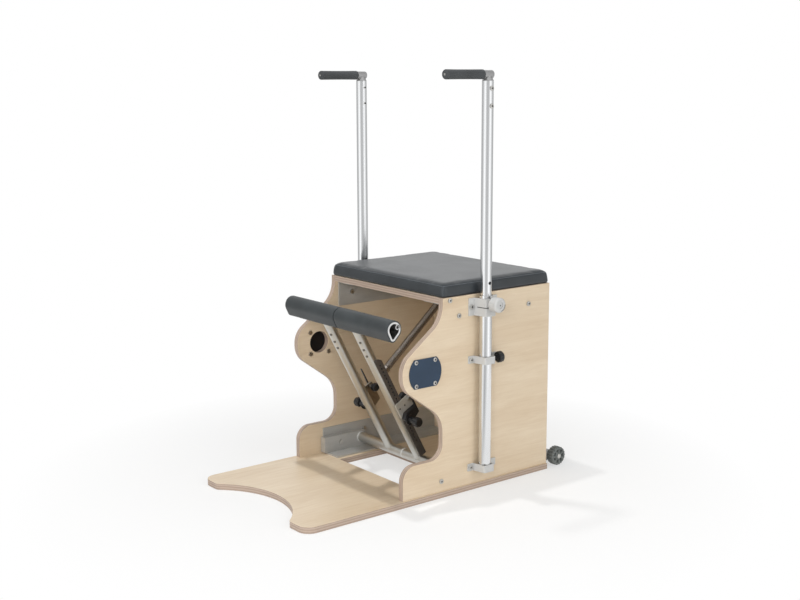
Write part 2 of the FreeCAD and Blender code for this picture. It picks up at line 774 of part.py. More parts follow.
# Handle brackets: a flange on each side and a hat-shaped wall over the tube
def hat_bracket(kind, side, sign):
    low, tall = BRACKETS[kind]
    body = new_body(f"{side}_{kind}_bracket")
    sketch = sketch_on(body, "XY_Plane")
    top_out = f"({HAT_TOP} + bracket_wall)"
    wall_lean = f"((hat_base_half - hat_top_half) / {HAT_TOP})"
    wall_out = f"(bracket_wall * sqrt(1 + {wall_lean} * {wall_lean}))"
    half_at_flange = f"(hat_base_half - {wall_lean} * bracket_wall + {wall_out})"
    half_at_top = f"(hat_top_half - {wall_lean} * bracket_wall + {wall_out})"
    rising = [(0, "flange_reach"), ("bracket_wall", "flange_reach"), ("bracket_wall", half_at_flange),
              (top_out, half_at_top)]
    inside = [(0, "0 - hat_base_half"), (HAT_TOP, "0 - hat_top_half"), (HAT_TOP, "hat_top_half"),
              (0, "hat_base_half")]
    falling = [(x, f"0 - {y}") for x, y in reversed(rising)]
    rising[:2] = [(0, "rear_flange_reach"), ("bracket_wall", "rear_flange_reach")]
    corners = rising + falling + inside
    outline(sketch, [(f"{sign} * ({x})", y) for x, y in corners])
    pad(body, sketch, tall)
    round_corners(body, 2,
                  [(f"{sign} * {top_out}", half_at_top), (f"{sign} * {top_out}", f"0 - {half_at_top}")],
                  "hat_edge_radius")
    bore_along_x = sketch_on(body, "YZ_Plane")
    for way in "+-":
        circle(bore_along_x, f"0 {way} bracket_bolt_spread", f"{tall} / 2", BOLT_HOLE)
    pocket(body, bore_along_x, "2 * bracket_wall + 2 * overrun")
    if kind == "foot":
        floor = sketch_on(body, "XY_Plane")
        shrink = f"({wall_lean} * bracket_wall)"
        outline(floor, [(f"{sign} * ({x})", y) for x, y in [
            (0, "0 - hat_base_half"), (HAT_TOP, f"0 - hat_top_half - {shrink} / 2"),
            (HAT_TOP, f"hat_top_half + {shrink} / 2"), (0, "hat_base_half")]])
        pad(body, floor, "tube_foot_height - foot_bracket_low")
    place(body, f"{sign} * {HALF}", POLE_Y, low)
    return body


top_brackets, mid_brackets, foot_brackets = [], [], []
for side, sign in SIDES.items():
    pin_hole = rod(f"{side}_boss_hole", "index_pin_dia + 2 * face_gap", "4 * bracket_wall",
                   f"{sign} * ({HALF} + {HAT_TOP} - bracket_wall)", POLE_Y, "index_height",
                   ALONG_X if sign > 0 else ALONG_MINUS_X)
    top_brackets.append(cut(f"{side}_top_bracket_cut", hat_bracket("top", side, sign), [pin_hole]))
    stud_hole = rod(f"{side}_stud_hole", "clamp_stud_dia + 2 * face_gap", "4 * bracket_wall + hat_base_half",
                    f"{sign} * {POLE_X}", POLE_Y, "mid_bracket_low + mid_bracket_tall / 2", ALONG_Y)
    mid_brackets.append(cut(f"{side}_mid_bracket_cut", hat_bracket("mid", side, sign), [stud_hole]))
    foot_brackets.append(hat_bracket("foot", side, sign))
group("top_pole_brackets", top_brackets)
group("mid_pole_brackets", mid_brackets)
group("foot_pole_brackets", foot_brackets)

# Handle tubes on the box, and the collars that guide the poles
collars = []
BORE = "(tube_dia - 2 * tube_wall)"
for side, sign in SIDES.items():
    x = f"{sign} * {POLE_X}"
    outward = ALONG_X if sign > 0 else ALONG_MINUS_X
    blank = tube(f"{side}_tube_blank", "tube_dia", BORE, "tube_foot_height", "tube_top_height")
    place(blank, x, POLE_Y, 0)
    holes = [rod(f"{side}_tube_pin_hole", "index_pin_dia + 2 * face_gap", "tube_dia", x, POLE_Y,
                 "index_height", outward),
             rod(f"{side}_tube_stud_hole", "clamp_stud_dia + 2 * face_gap", "tube_dia", x, POLE_Y,
                 "mid_bracket_low + mid_bracket_tall / 2", ALONG_Y)]
    node(cut(f"{side}_pole_tube", blank, holes), f"{side}_pole_tube")
    collar = tube(f"{side}_collar", "collar_dia", "pole_dia + 2 * face_gap", "tube_top_height",
                  "tube_top_height + collar_height")
    collars.append(place(collar, x, POLE_Y, 0))
group("tube_collars", collars)

# Upper poles with their index holes, elbows, grips and cross screws
for side, sign in SIDES.items():
    x = f"{sign} * {POLE_X}"
    outward = ALONG_X if sign > 0 else ALONG_MINUS_X
    screw_heights = [f"pole_top_height - pole_screw_top_drop - {n} * pole_screw_pitch" for n in range(2)]
    screw_hole = "pole_screw_dia + 2 * running_gap"
    blank = tube(f"{side}_pole_blank", "pole_dia", "pole_dia - 2 * pole_wall", "pole_foot_height",
                 "pole_top_height")
    place(blank, x, POLE_Y, 0)
    holes = [rod(f"{side}_index_hole_{n}", "index_hole_dia", "pole_dia", x, POLE_Y,
                 f"index_height + ({1 - n}) * index_pitch", outward) for n in range(INDEX_HOLES)]
    cross = [rod(f"{side}_screw_hole_{n}", screw_hole, "2 * pole_dia", f"{x} - pole_dia", POLE_Y, level,
                 ALONG_X)
             for n, level in enumerate(screw_heights)]
    node(cut(f"{side}_upper_pole", blank, holes + cross), f"{side}_upper_pole")

    spigot = "(pole_dia / 2 - pole_wall - running_gap)"
    crown = turned(f"{side}_elbow_crown", [
        (0, "pole_top_height - elbow_spigot_length"), (spigot, "pole_top_height - elbow_spigot_length"),
        (spigot, "pole_top_height"), ("pole_dia / 2", "pole_top_height"),
        ("pole_dia / 2", "pole_top_height + elbow_height - elbow_dome"),
        ("pole_dia / 2 - elbow_dome", "pole_top_height + elbow_height"),
        (0, "pole_top_height + elbow_height")])
    place(crown, x, POLE_Y, 0)
    bar = rod(f"{side}_grip_bar", "grip_bar_dia", "grip_start + grip_length - grip_end_wall", x, POLE_Y,
              GRIP_Z, ALONG_MINUS_Y)
    spigot_holes = [rod(f"{side}_spigot_hole_{n}", screw_hole, "2 * pole_dia", f"{x} - pole_dia", POLE_Y,
                        level, ALONG_X)
                    for n, level in enumerate(screw_heights)]
    elbow = cut(f"{side}_elbow", fuse(f"{side}_elbow_blank", [crown, bar]), spigot_holes)
    node(elbow, f"{side}_elbow")

    shell = "(grip_bar_dia / 2 + running_gap)"
    end = "grip_length - grip_end_wall"
    grip = turned(f"{side}_grip", [
        (shell, 0), ("grip_dia / 2 - grip_end_wall / 2", 0), ("grip_dia / 2", "grip_end_wall / 2"),
        ("grip_dia / 2", "grip_length - grip_end_wall / 2"),
        ("grip_dia / 2 - grip_end_wall / 2", "grip_length"),
        (0, "grip_length"), (0, end), (shell, end)])
    node(place(grip, x, f"{POLE_Y} - grip_start", GRIP_Z, ALONG_MINUS_Y), f"{side}_grip")

    screws = []
    screw = bolt(f"{side}_pole_screw", "pole_screw_dia", "bolt_head_dia", "bolt_head_height",
                 "pole_dia + pole_screw_proud", nut=False)
    for n, level in enumerate(screw_heights):
        piece = copy_of(screw, f"{side}_pole_screw_{n}")
        screws.append(place(piece, f"{sign} * ({POLE_X} + pole_dia / 2)", POLE_Y, level, outward))
    group(f"{side}_pole_screws", screws)

# Index knobs: a sprung pin in a boss on the top bracket, pulled by a broad knob
for side, sign in SIDES.items():
    outward = ALONG_X if sign > 0 else ALONG_MINUS_X
    seat = f"({HAT_TOP} + bracket_wall - pole_stand_off + face_gap)"
    neck_end = f"({seat} + index_boss_length)"
    knob_end = f"({neck_end} + index_knob_gap + index_knob_length)"
    tip = "(pole_dia / 2 + face_gap)"
    pin, boss, rim = "index_pin_dia / 2", "index_boss_dia / 2", "index_knob_dia / 2"
    knob = turned(f"{side}_index_knob", [
        (0, tip), (pin, tip), (pin, seat), (boss, seat), (boss, f"{neck_end} + index_knob_gap"),
        (f"{rim} - index_knob_rim", f"{neck_end} + index_knob_gap"),
        (rim, f"{neck_end} + 2 * index_knob_gap"),
        (rim, f"{knob_end} - index_knob_rim"), (f"{rim} - index_knob_rim", knob_end),
        (f"{boss} - index_knob_rim / 2", knob_end),
        (f"{boss} - index_knob_rim / 2", f"{knob_end} - index_knob_rim"),
        (0, f"{knob_end} - index_knob_rim")])
    node(place(knob, f"{sign} * {POLE_X}", POLE_Y, "index_height", outward), f"{side}_index_knob")


# A lobed hand knob on a stud: a turned blank with scallops patterned round its rim
def lobed_knob(name, stud_dia, stud_from, neck_to, length, dia, lobe_dia, neck_dia):
    end = f"({neck_to} + {length})"
    stud, neck, rim = f"({stud_dia}) / 2", f"({neck_dia}) / 2", f"({dia}) / 2"
    body = turned(name, [
        (0, stud_from), (stud, stud_from), (stud, f"{neck_to} - knob_neck_length"),
        (neck, f"{neck_to} - knob_neck_length"), (neck, neck_to), (f"{rim} - knob_edge", neck_to),
        (rim, f"{neck_to} + knob_edge"), (rim, f"{end} - knob_edge"), (f"{rim} - knob_edge", end), (0, end)])
    sketch = sketch_on(body, "XY_Plane")
    circle(sketch, f"{rim} + {lobe_dia} / 4", 0, lobe_dia)
    scallop = pocket(body, sketch, f"4 * {end}")
    pattern = body.newObject("PartDesign::PolarPattern", f"{name}_lobes")
    pattern.Originals = [scallop]
    pattern.Axis = (sketch, ["N_Axis"])
    pattern.Angle = 360
    pattern.Occurrences = KNOB_LOBES
    body.Tip = pattern
    doc.recompute()
    return body


# Clamp knobs behind the middle brackets
for side, sign in SIDES.items():
    knob = lobed_knob(f"{side}_clamp_knob", "clamp_stud_dia", "pole_dia / 2 + face_gap",
                      "hat_base_half + bracket_wall + clamp_neck_length", "clamp_knob_length",
                      "clamp_knob_dia", "clamp_lobe_dia", "knob_neck_dia")
    place(knob, f"{sign} * {POLE_X}", POLE_Y, "mid_bracket_low + mid_bracket_tall / 2", ALONG_Y)
    node(knob, f"{side}_clamp_knob")

# Transport wheels behind the box, each on a bolt through a one-armed bracket
WHEEL_Y = f"({REAR} + wheel_set_back)"
WHEEL_IN = f"({HALF} + wheel_overhang - wheel_width)"
wheel_brackets, wheel_bolts = [], []
for side, sign in SIDES.items():
    arm_in = f"({WHEEL_IN} - end_washer_thick - wheel_bracket_thick)"
    arm_out = f"({arm_in} + wheel_bracket_thick)"
    bracket = new_body(f"{side}_wheel_bracket")
    sketch = sketch_on(bracket, "YZ_Plane")
    half_arm = "wheel_arm_width / 2"
    outline(sketch, [
        (REAR, "wheel_bracket_low"), (f"{REAR} + wheel_bracket_thick", "wheel_bracket_low"),
        (WHEEL_Y, f"wheel_height - {half_arm}", half_arm),
        (f"{WHEEL_Y} + {half_arm}", "wheel_height", half_arm),
        (WHEEL_Y, f"wheel_height + {half_arm}"),
        (f"{REAR} + wheel_bracket_thick", "wheel_bracket_low + wheel_bracket_height"),
        (REAR, "wheel_bracket_low + wheel_bracket_height")])
    circle(sketch, WHEEL_Y, "wheel_height", "wheel_bolt_dia + 2 * running_gap")
    pad(bracket, sketch, "wheel_bracket_thick")
    place(bracket, arm_in if sign > 0 else f"0 - {arm_out}", 0, 0)
    plate_in = f"({arm_out} - wheel_bracket_width)"
    low, high = (plate_in, arm_out) if sign > 0 else (f"0 - {arm_out}", f"0 - {plate_in}")
    plate = box(f"{side}_wheel_plate", (low, REAR, "wheel_bracket_low"),
                (high, f"{REAR} + wheel_bracket_thick", "wheel_bracket_low + wheel_bracket_height"))
    wheel_brackets.append(fuse(f"{side}_wheel_bracket_whole", [bracket, plate]))
    pin = bolt(f"{side}_wheel_bolt", "wheel_bolt_dia", "bolt_head_dia", "bolt_head_height",
               "wheel_width + end_washer_thick + wheel_bracket_thick + face_gap")
    outward = ALONG_X if sign > 0 else ALONG_MINUS_X
    wheel_bolts.append(place(pin, f"{sign} * ({WHEEL_IN} + wheel_width + face_gap)", WHEEL_Y, "wheel_height",
                             outward))

    bore, hub, rim = "wheel_bolt_dia / 2 + running_gap", "wheel_hub_dia / 2", "wheel_dia / 2"
    dish = "(wheel_width - wheel_web) / 2"
    edge = "wheel_groove / 2"
    wheel = turned(f"{side}_wheel", [
        (bore, "0 - end_washer_thick + face_gap"), (hub, "0 - end_washer_thick + face_gap"), (hub, dish),
        (f"{rim} - wheel_rim", dish), (f"{rim} - wheel_rim", 0), (f"{rim} - {edge}", 0), (rim, edge),
        (rim, f"wheel_width - {edge}"), (f"{rim} - {edge}", "wheel_width"),
        (f"{rim} - wheel_rim", "wheel_width"),
        (f"{rim} - wheel_rim", f"wheel_width - {dish}"), (hub, f"wheel_width - {dish}"), (hub, "wheel_width"),
        (bore, "wheel_width")])
    groove_sketch = sketch_on(wheel, "XY_Plane")
    circle(groove_sketch, f"{rim} + wheel_groove / 4", 0, "wheel_groove")
    groove = pocket(wheel, groove_sketch, "4 * wheel_width")
    pattern = wheel.newObject("PartDesign::PolarPattern", f"{side}_wheel_tread")
    pattern.Originals = [groove]
    pattern.Axis = (groove_sketch, ["N_Axis"])
    pattern.Angle = 360
    pattern.Occurrences = WHEEL_GROOVE_COUNT
    wheel.Tip = pattern
    doc.recompute()
    node(place(wheel, f"{sign} * {WHEEL_IN}", WHEEL_Y, "wheel_height", outward), f"{side}_wheel")
group("wheel_brackets", wheel_brackets)
group("wheel_bolts", wheel_bolts)


# The teardrop section of a foot bar, in a pedal's own frame: a round of the given radius
# on the arm's axis and a tip turned forward from the arm
def teardrop(sketch, radius, reach, tip_radius):
    lean = f"(asin((({radius}) - ({tip_radius})) / ({reach})) / (1 deg))"
    # The tip points at an angle from straight down the arm, towards the front
    def spot(distance, turn):
        return (f"bar_off - ({distance}) * sin(bar_tip_turn + ({turn}))",
                f"bar_along - ({distance}) * cos(bar_tip_turn + ({turn}))")
    def on_tip(turn):
        x, y = spot(reach, 0)
        return (f"{x} - ({tip_radius}) * sin(bar_tip_turn + ({turn}))",
                f"{y} - ({tip_radius}) * cos(bar_tip_turn + ({turn}))")
    side_turn = f"(90 - {lean})"
    outline(sketch, [
        (*spot(radius, 180), radius), spot(radius, side_turn), (*on_tip(side_turn), tip_radius),
        on_tip(f"0 - {side_turn}"), (*spot(radius, f"0 - {side_turn}"), radius)])


BAR_IN = "(bar_gap / 2)"
BAR_LENGTH = "(bar_half_reach - bar_gap / 2)"


def bar_prism(name, sign, radius, reach, tip_radius, extra="0"):
    body = new_body(name)
    sketch = sketch_on(body, "YZ_Plane")
    teardrop(sketch, radius, reach, tip_radius)
    pad(body, sketch, f"{BAR_LENGTH} + 2 * ({extra})")
    start = f"{BAR_IN} - ({extra})" if sign > 0 else f"0 - {BAR_IN} - {BAR_LENGTH} - ({extra})"
    return place_on_pedal(body, start)


COVER_RADIUS = "(bar_core_radius + bar_cover_thick)"
COVER_TIP = "(bar_tip_radius + bar_cover_thick)"
for side, sign in SIDES.items():
    arm_x = f"{sign} * arm_spread"
    # Foot-bar core, an extrusion with one large hollow and a boss for the end screw
    core_blank = bar_prism(f"{side}_core_blank", sign, "bar_core_radius", "bar_tip_reach", "bar_tip_radius")
    hollow = bar_prism(f"{side}_core_hollow", sign, "bar_core_radius - bar_core_wall", "bar_tip_reach",
                       "bar_tip_radius - bar_core_wall / 2", "overrun")
    boss_at = pedal_y("bar_off + bar_boss_off", "bar_along"), pedal_z("bar_off + bar_boss_off", "bar_along")
    bar_low = f"{BAR_IN} - overrun" if sign > 0 else f"0 - {BAR_IN} - {BAR_LENGTH} - overrun"
    boss = rod(f"{side}_core_boss", "bar_boss_dia", f"{BAR_LENGTH} + 2 * overrun", bar_low, *boss_at, ALONG_X)
    screw_hole = rod(f"{side}_core_screw_hole", "bar_screw_dia", f"{BAR_LENGTH} + 2 * overrun", bar_low,
                     *boss_at, ALONG_X)
    hollow = cut(f"{side}_core_hollow_beside_boss", hollow, [boss])
    node(cut(f"{side}_bar_core", core_blank, [hollow, screw_hole]), f"{side}_bar_core")
    # Soft cover round the core, open where the arm goes in
    cover_blank = bar_prism(f"{side}_cover_blank", sign, COVER_RADIUS, "bar_tip_reach", COVER_TIP)
    cover_bore = bar_prism(f"{side}_cover_bore", sign, "bar_core_radius + running_gap", "bar_tip_reach",
                           "bar_tip_radius + running_gap", "overrun")
    arm_hole = rod(f"{side}_cover_arm_hole", "arm_dia + 2 * face_gap", "bar_along", arm_x, AXLE_Y,
                   "axle_height")
    place_on_pedal(arm_hole, arm_x)
    node(cut(f"{side}_bar_cover", cover_blank, [cover_bore, arm_hole]), f"{side}_bar_cover")
    # Arm and pivot sleeve, welded into one
    arm_rod = rod(f"{side}_arm_rod", "arm_dia", "bar_along", arm_x, AXLE_Y, "axle_height")
    place_on_pedal(arm_rod, arm_x)
    sleeve_from = "(centre_washer_thick / 2 + face_gap)"
    sleeve_to = f"({BLOCK_IN} - end_washer_thick - face_gap)"
    sleeve_low = sleeve_from if sign > 0 else f"0 - {sleeve_to}"
    sleeve = rod(f"{side}_sleeve_rod", "sleeve_dia", f"{sleeve_to} - {sleeve_from}", sleeve_low, AXLE_Y,
                 "axle_height", ALONG_X)
    weldment = fuse(f"{side}_weldment", [arm_rod, sleeve])
    bore = rod(f"{side}_sleeve_bore", "axle_dia + 2 * running_gap", f"{sleeve_to} + 2 * overrun",
               f"{sleeve_low} - overrun", AXLE_Y, "axle_height", ALONG_X)
    arm_bore = rod(f"{side}_arm_bore", "arm_dia - 2 * arm_wall", "bar_along - sleeve_dia / 2", arm_x,
                   pedal_y(0, "sleeve_dia / 2"), pedal_z(0, "sleeve_dia / 2"),
                   Rotation(Vector(1, 0, 0), num("arm_lean")))
    arm_bore.setExpression("Placement.Rotation.Angle", f"{linked('arm_lean')} * 1 deg")
    core_fill = bar_prism(f"{side}_core_fill", sign, "bar_core_radius + running_gap", "bar_tip_reach",
                          "bar_tip_radius + running_gap")
    node(cut(f"{side}_pedal_arm", weldment, [bore, arm_bore, core_fill]), f"{side}_pedal_arm")

    # Perforated rail, a flat bar against the outer side of the arm with a rounded head
    rail = new_body(f"{side}_spring_rail")
    sketch = sketch_on(rail, "YZ_Plane")
    near = "(0 - rail_front_off)"
    outline(sketch, [(near, "rail_from"), (RAIL_REAR, "rail_from"), (RAIL_REAR, "rail_to", "rail_width"),
                     (near, "rail_to + rail_width / 2")])
    pad(rail, sketch, "rail_thick")
    hole_sketch = sketch_on(rail, "YZ_Plane")
    circle(hole_sketch, RAIL_MID, "rail_hole_from", "rail_hole_dia")
    first_hole = pocket(rail, hole_sketch, "2 * rail_thick + 2 * overrun")
    row = rail.newObject("PartDesign::LinearPattern", f"{side}_rail_holes")
    row.Originals = [first_hole]
    row.Direction = (hole_sketch, ["V_Axis"])
    row.Mode = "Spacing"
    row.Occurrences = int((num("rail_to") - num("rail_hole_from")) // num("rail_hole_pitch")) + 1
    bind(row, Offset="rail_hole_pitch")
    rail.Tip = row
    doc.recompute()
    node(place_on_pedal(rail, outside(sign, RAIL_IN, f"({RAIL_IN} + rail_thick)")[0]), f"{side}_spring_rail")

    # Carriage: a web outside the rail, flanges round both its edges and an ear for the spring pin
    web = new_body(f"{side}_carriage_web")
    sketch = sketch_on(web, "YZ_Plane")
    front = f"(0 - {CARRIAGE_FRONT})"
    outline(sketch, [
        ("carriage_step", "carriage_low"), (EAR_REAR, "carriage_rear_low"), (EAR_REAR, "carriage_to"),
        (front, "carriage_to"), (front, "carriage_flange_from"), ("carriage_step", "carriage_flange_from")])
    circle(sketch, "spring_pin_off", "spring_pin_along", "spring_pin_dia + 2 * face_gap")
    circle(sketch, RAIL_MID, PULL_ALONG, "pull_pin_dia + 2 * face_gap")
    pad(web, sketch, "carriage_cheek")
    round_corners(web, 0, [(EAR_REAR, "carriage_to"), (front, "carriage_to")], "carriage_corner_radius")
    place_on_pedal(web, outside(sign, WEB_IN, WEB_OUT)[0])
    flange = pedal_box(f"{side}_carriage_flange", outside(sign, RAIL_IN, WEB_OUT),
                       (front, f"({front} + carriage_cheek)"),
                       ("carriage_flange_from", "carriage_to - carriage_corner_radius"))
    hook_span = ("carriage_flange_from", "carriage_flange_from + carriage_hook_length")
    hook_in = f"({RAIL_IN} - face_gap - carriage_cheek)"
    hook_from = f"({RAIL_REAR} + face_gap)"
    hook_to = f"({hook_from} + carriage_cheek)"
    hook = pedal_box(f"{side}_carriage_hook", outside(sign, hook_in, WEB_OUT), (hook_from, hook_to),
                     hook_span)
    lip = pedal_box(f"{side}_carriage_lip", outside(sign, hook_in, f"({RAIL_IN} - face_gap)"),
                    (f"({RAIL_REAR} - carriage_lip)", hook_to), hook_span)
    node(fuse(f"{side}_carriage", [web, flange, hook, lip]), f"{side}_carriage")

    # Black block outside the carriage, with an upright tail at its rear edge
    block = new_body(f"{side}_clip_block")
    sketch = sketch_on(block, "YZ_Plane")
    outline(sketch, [
        ("0 - clip_front_off", "clip_nose_height"), ("clip_foot_off", "clip_foot_height"),
        ("clip_rear_off", "clip_rear_height"), ("clip_rear_off", "clip_top_height"),
        ("clip_chamfer_off", "clip_top_height")])
    circle(sketch, RAIL_MID, PULL_ALONG, "pull_pin_dia + 2 * face_gap")
    pad(block, sketch, "clip_thick")
    place_on_pedal(block, outside(sign, CLIP_IN, CLIP_OUT)[0])
    tail = new_body(f"{side}_clip_tail")
    sketch = sketch_on(tail, "YZ_Plane")
    outline(sketch, [
        ("clip_rear_off - clip_tail_width", "clip_rear_height"), ("clip_rear_off", "clip_rear_height"),
        ("clip_rear_off", "clip_tail_to"), ("clip_rear_off - clip_tail_tip", "clip_tail_to")])
    pad(tail, sketch, "clip_tail_thick")
    place_on_pedal(tail, outside(sign, f"({CLIP_OUT} - clip_tail_thick)", CLIP_OUT)[0])
    node(fuse(f"{side}_carriage_clip", [block, tail]), f"{side}_carriage_clip")

    # Indexing plunger: a flanged body on the block, and the pull knob whose pin goes into the rail
    outward, inward = (ALONG_X, ALONG_MINUS_X) if sign > 0 else (ALONG_MINUS_X, ALONG_X)
    pull_at = pedal_y(RAIL_MID, PULL_ALONG), pedal_z(RAIL_MID, PULL_ALONG)
    seat = f"({CLIP_OUT} + face_gap / 3)"
    bore, barrel, brim = "pull_pin_dia / 2 + face_gap", "plunger_dia / 2", "plunger_flange_dia / 2"
    brim_to, barrel_to = f"({seat} + plunger_flange_thick)", f"({seat} + plunger_length)"
    plunger = turned(f"{side}_plunger_body", [
        (bore, seat), (brim, seat), (brim, brim_to), (barrel, brim_to), (barrel, barrel_to),
        (bore, barrel_to)])
    node(place(plunger, arm_x, *pull_at, outward), f"{side}_plunger_body")
    pull = lobed_knob(f"{side}_pull_knob", "pull_pin_dia", RAIL_IN,
                      f"({barrel_to} + face_gap + knob_neck_length)", "knob_length", "knob_dia",
                      "clamp_lobe_dia", "knob_neck_dia")
    node(place(pull, arm_x, *pull_at, outward), f"{side}_pull_knob")
    # Spring pin: its head outside the web, its knob inside the spring's hook
    pin_at = pedal_y("spring_pin_off", "spring_pin_along"), pedal_z("spring_pin_off", "spring_pin_along")
    head_from = f"({WEB_OUT} + face_gap)"
    shank = lobed_knob(f"{side}_spring_pin_shank", "spring_pin_dia",
                       f"0 - {head_from} - spring_pin_head_length / 2", "(0 - spring_knob_off)",
                       "spring_knob_length", "spring_knob_dia", "clamp_lobe_dia", "knob_neck_dia")
    place(shank, arm_x, *pin_at, inward)
    head = rod(f"{side}_spring_pin_head", "spring_pin_head_dia", "spring_pin_head_length",
               f"{sign} * (arm_spread + {head_from})", *pin_at, outward)
    node(fuse(f"{side}_spring_pin", [shank, head]), f"{side}_spring_pin")


# Extension springs: one wire each, with curls between two hooks. The path is made in the
# spring's own frame, +Z from the spring pin up to the anchor bar, from biarcs.
def biarc(start, start_way, end, end_way):
    span, both = end - start, start_way + end_way
    bend = 2 * (1 - start_way.dot(end_way))
    if bend < 1e-9:
        return [Part.LineSegment(start, end)]
    along = span.dot(both)
    reach = (math.sqrt(along * along + bend * span.dot(span)) - along) / bend
    middle = (start + start_way * reach + end - end_way * reach) * 0.5
    return [tangent_arc(start, start_way, middle), tangent_arc(middle, None, end, end_way)]


# Arc between two points that leaves the first, or reaches the second, in the given direction
def tangent_arc(start, start_way, end, end_way=None):
    chord = end - start
    way = start_way if start_way is not None else end_way
    cosine = chord.dot(way) / chord.Length
    handle = chord.Length / 2 / cosine
    corner = start + way * handle if start_way is not None else end - way * handle
    foot = (start + end) * 0.5
    return Part.Arc(start, foot + (corner - foot) * (cosine / (1 + cosine)), end)


def spring_path(length):
    wire = num("spring_wire")
    radius = (num("spring_dia") - wire) / 2
    low, high = num("spring_lower_reach"), length - num("spring_upper_reach")
    climb = (high - low) / (SPRING_CURLS * 2 * math.pi)
    speed = math.hypot(radius, climb)

    def curl(turns):
        angle = 2 * math.pi * turns
        spot = Vector(radius * math.cos(angle), radius * math.sin(angle), low + climb * angle)
        return spot, Vector(-radius * math.sin(angle), radius * math.cos(angle), climb) * (1 / speed)

    # A hook is a bend round a pin along X, reached by a straight shank beside the spring's axis
    def hook(pin_dia, centre, up):
        bend = num(pin_dia) / 2 + num("face_gap") + wire / 2
        shank, tip = centre - Vector(0, up * bend, 0), centre + Vector(0, up * bend, 0)
        return shank, centre + Vector(0, 0, up * bend), tip, tip - Vector(0, 0, up * wire)

    up = Vector(0, 0, 1)
    low_shank, low_crest, low_tip, low_end = hook("spring_pin_dia", Vector(), -1)
    high_shank, high_crest, high_tip, high_end = hook("anchor_dia", Vector(0, 0, length), 1)
    low_top = low_shank + up * (low / 2)
    high_foot = high_shank - up * (num("spring_upper_reach") / 2)
    first, first_way = curl(0)
    last, last_way = curl(SPRING_CURLS)
    path = [Part.LineSegment(low_end, low_tip), Part.Arc(low_tip, low_crest, low_shank)]
    path.append(Part.LineSegment(low_shank, low_top))
    path += biarc(low_top, up, first, first_way)
    for half_turn in range(2 * SPRING_CURLS):
        path += biarc(*curl(half_turn / 2), *curl((half_turn + 1) / 2))
    path += biarc(last, last_way, high_foot, up)
    path.append(Part.LineSegment(high_foot, high_shank))
    path += [Part.Arc(high_shank, high_crest, high_tip), Part.LineSegment(high_tip, high_end)]
    return Part.Wire([piece.toShape() for piece in path])


# Least gap between two stretches of the wire that aren't neighbours
def least_gap(path, wire):
    step = wire / 2
    points = path.discretize(Distance=step)
    apart = int(3 * wire / step)
    least = min((a - b).Length for i, a in enumerate(points) for b in points[i + apart:i + 12 * apart])
    return least - wire


def spring_shape(length):
    path = spring_path(length)
    wire = num("spring_wire")
    start = path.OrderedEdges[0]
    begin = start.FirstParameter
    section = Part.Circle(start.valueAt(begin), start.tangentAt(begin), wire / 2)
    shell = Part.BRepOffsetAPI.MakePipeShell(path)
    shell.add(Part.Wire([section.toShape()]))
    shell.build()
    shell.makeSolid()
    solid = shell.shape()
    wanted = math.pi * wire * wire / 4 * path.Length
    print("spring wire length", round(path.Length, 1), "volume against section times length",
          round(solid.Volume / wanted, 4), "least gap", round(least_gap(path, wire), 2))
    return solid


pin_y, pin_z = pedal_y("spring_pin_off", "spring_pin_along"), pedal_z("spring_pin_off", "spring_pin_along")
reach = Vector(0, num(depth("anchor_depth")) - num(pin_y), num("anchor_height") - num(pin_z))
spring_turn = Rotation(Vector(0, 0, 1), reach)
for side, sign in SIDES.items():
    spring_x = f"{sign} * (arm_spread + spring_side_off)"
    spring = doc.addObject("Part::Feature", f"{side}_spring")
    spring.Shape = spring_shape(reach.Length)
    place(spring, spring_x, pin_y, pin_z, spring_turn)
    node(spring, f"{side}_spring")
    # Sleeve over the lowest curls
    inside = "(spring_dia / 2 + face_gap)"
    cap_from, cap_to = "spring_lower_reach", "spring_lower_reach + spring_cap_length"
    cap = turned(f"{side}_spring_cap", [
        (inside, cap_from), (f"{inside} + spring_cap_wall", cap_from),
        (f"{inside} + spring_cap_wall", cap_to), (inside, cap_to)])
    node(place(cap, spring_x, pin_y, pin_z, spring_turn), f"{side}_spring_cap")

doc.recompute()
for obj in doc.Objects:
    if {"Invalid", "Error"} & set(obj.State):
        raise RuntimeError(f"{obj.Label} failed: {obj.State}")
for obj in nodes:
    shape = obj.Shape
    if shape.isNull() or not shape.isValid() or not shape.Solids:
        raise RuntimeError(f"{obj.Label} has no sound shape")

os.makedirs("parts", exist_ok=True)
for obj in nodes:
    obj.Shape.exportStep(f"parts/{obj.Label}.step")
print(len(nodes), "nodes written")
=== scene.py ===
import json
import math

import bmesh
import bpy
from mathutils import Matrix, Vector, noise
from mathutils.bvhtree import BVHTree


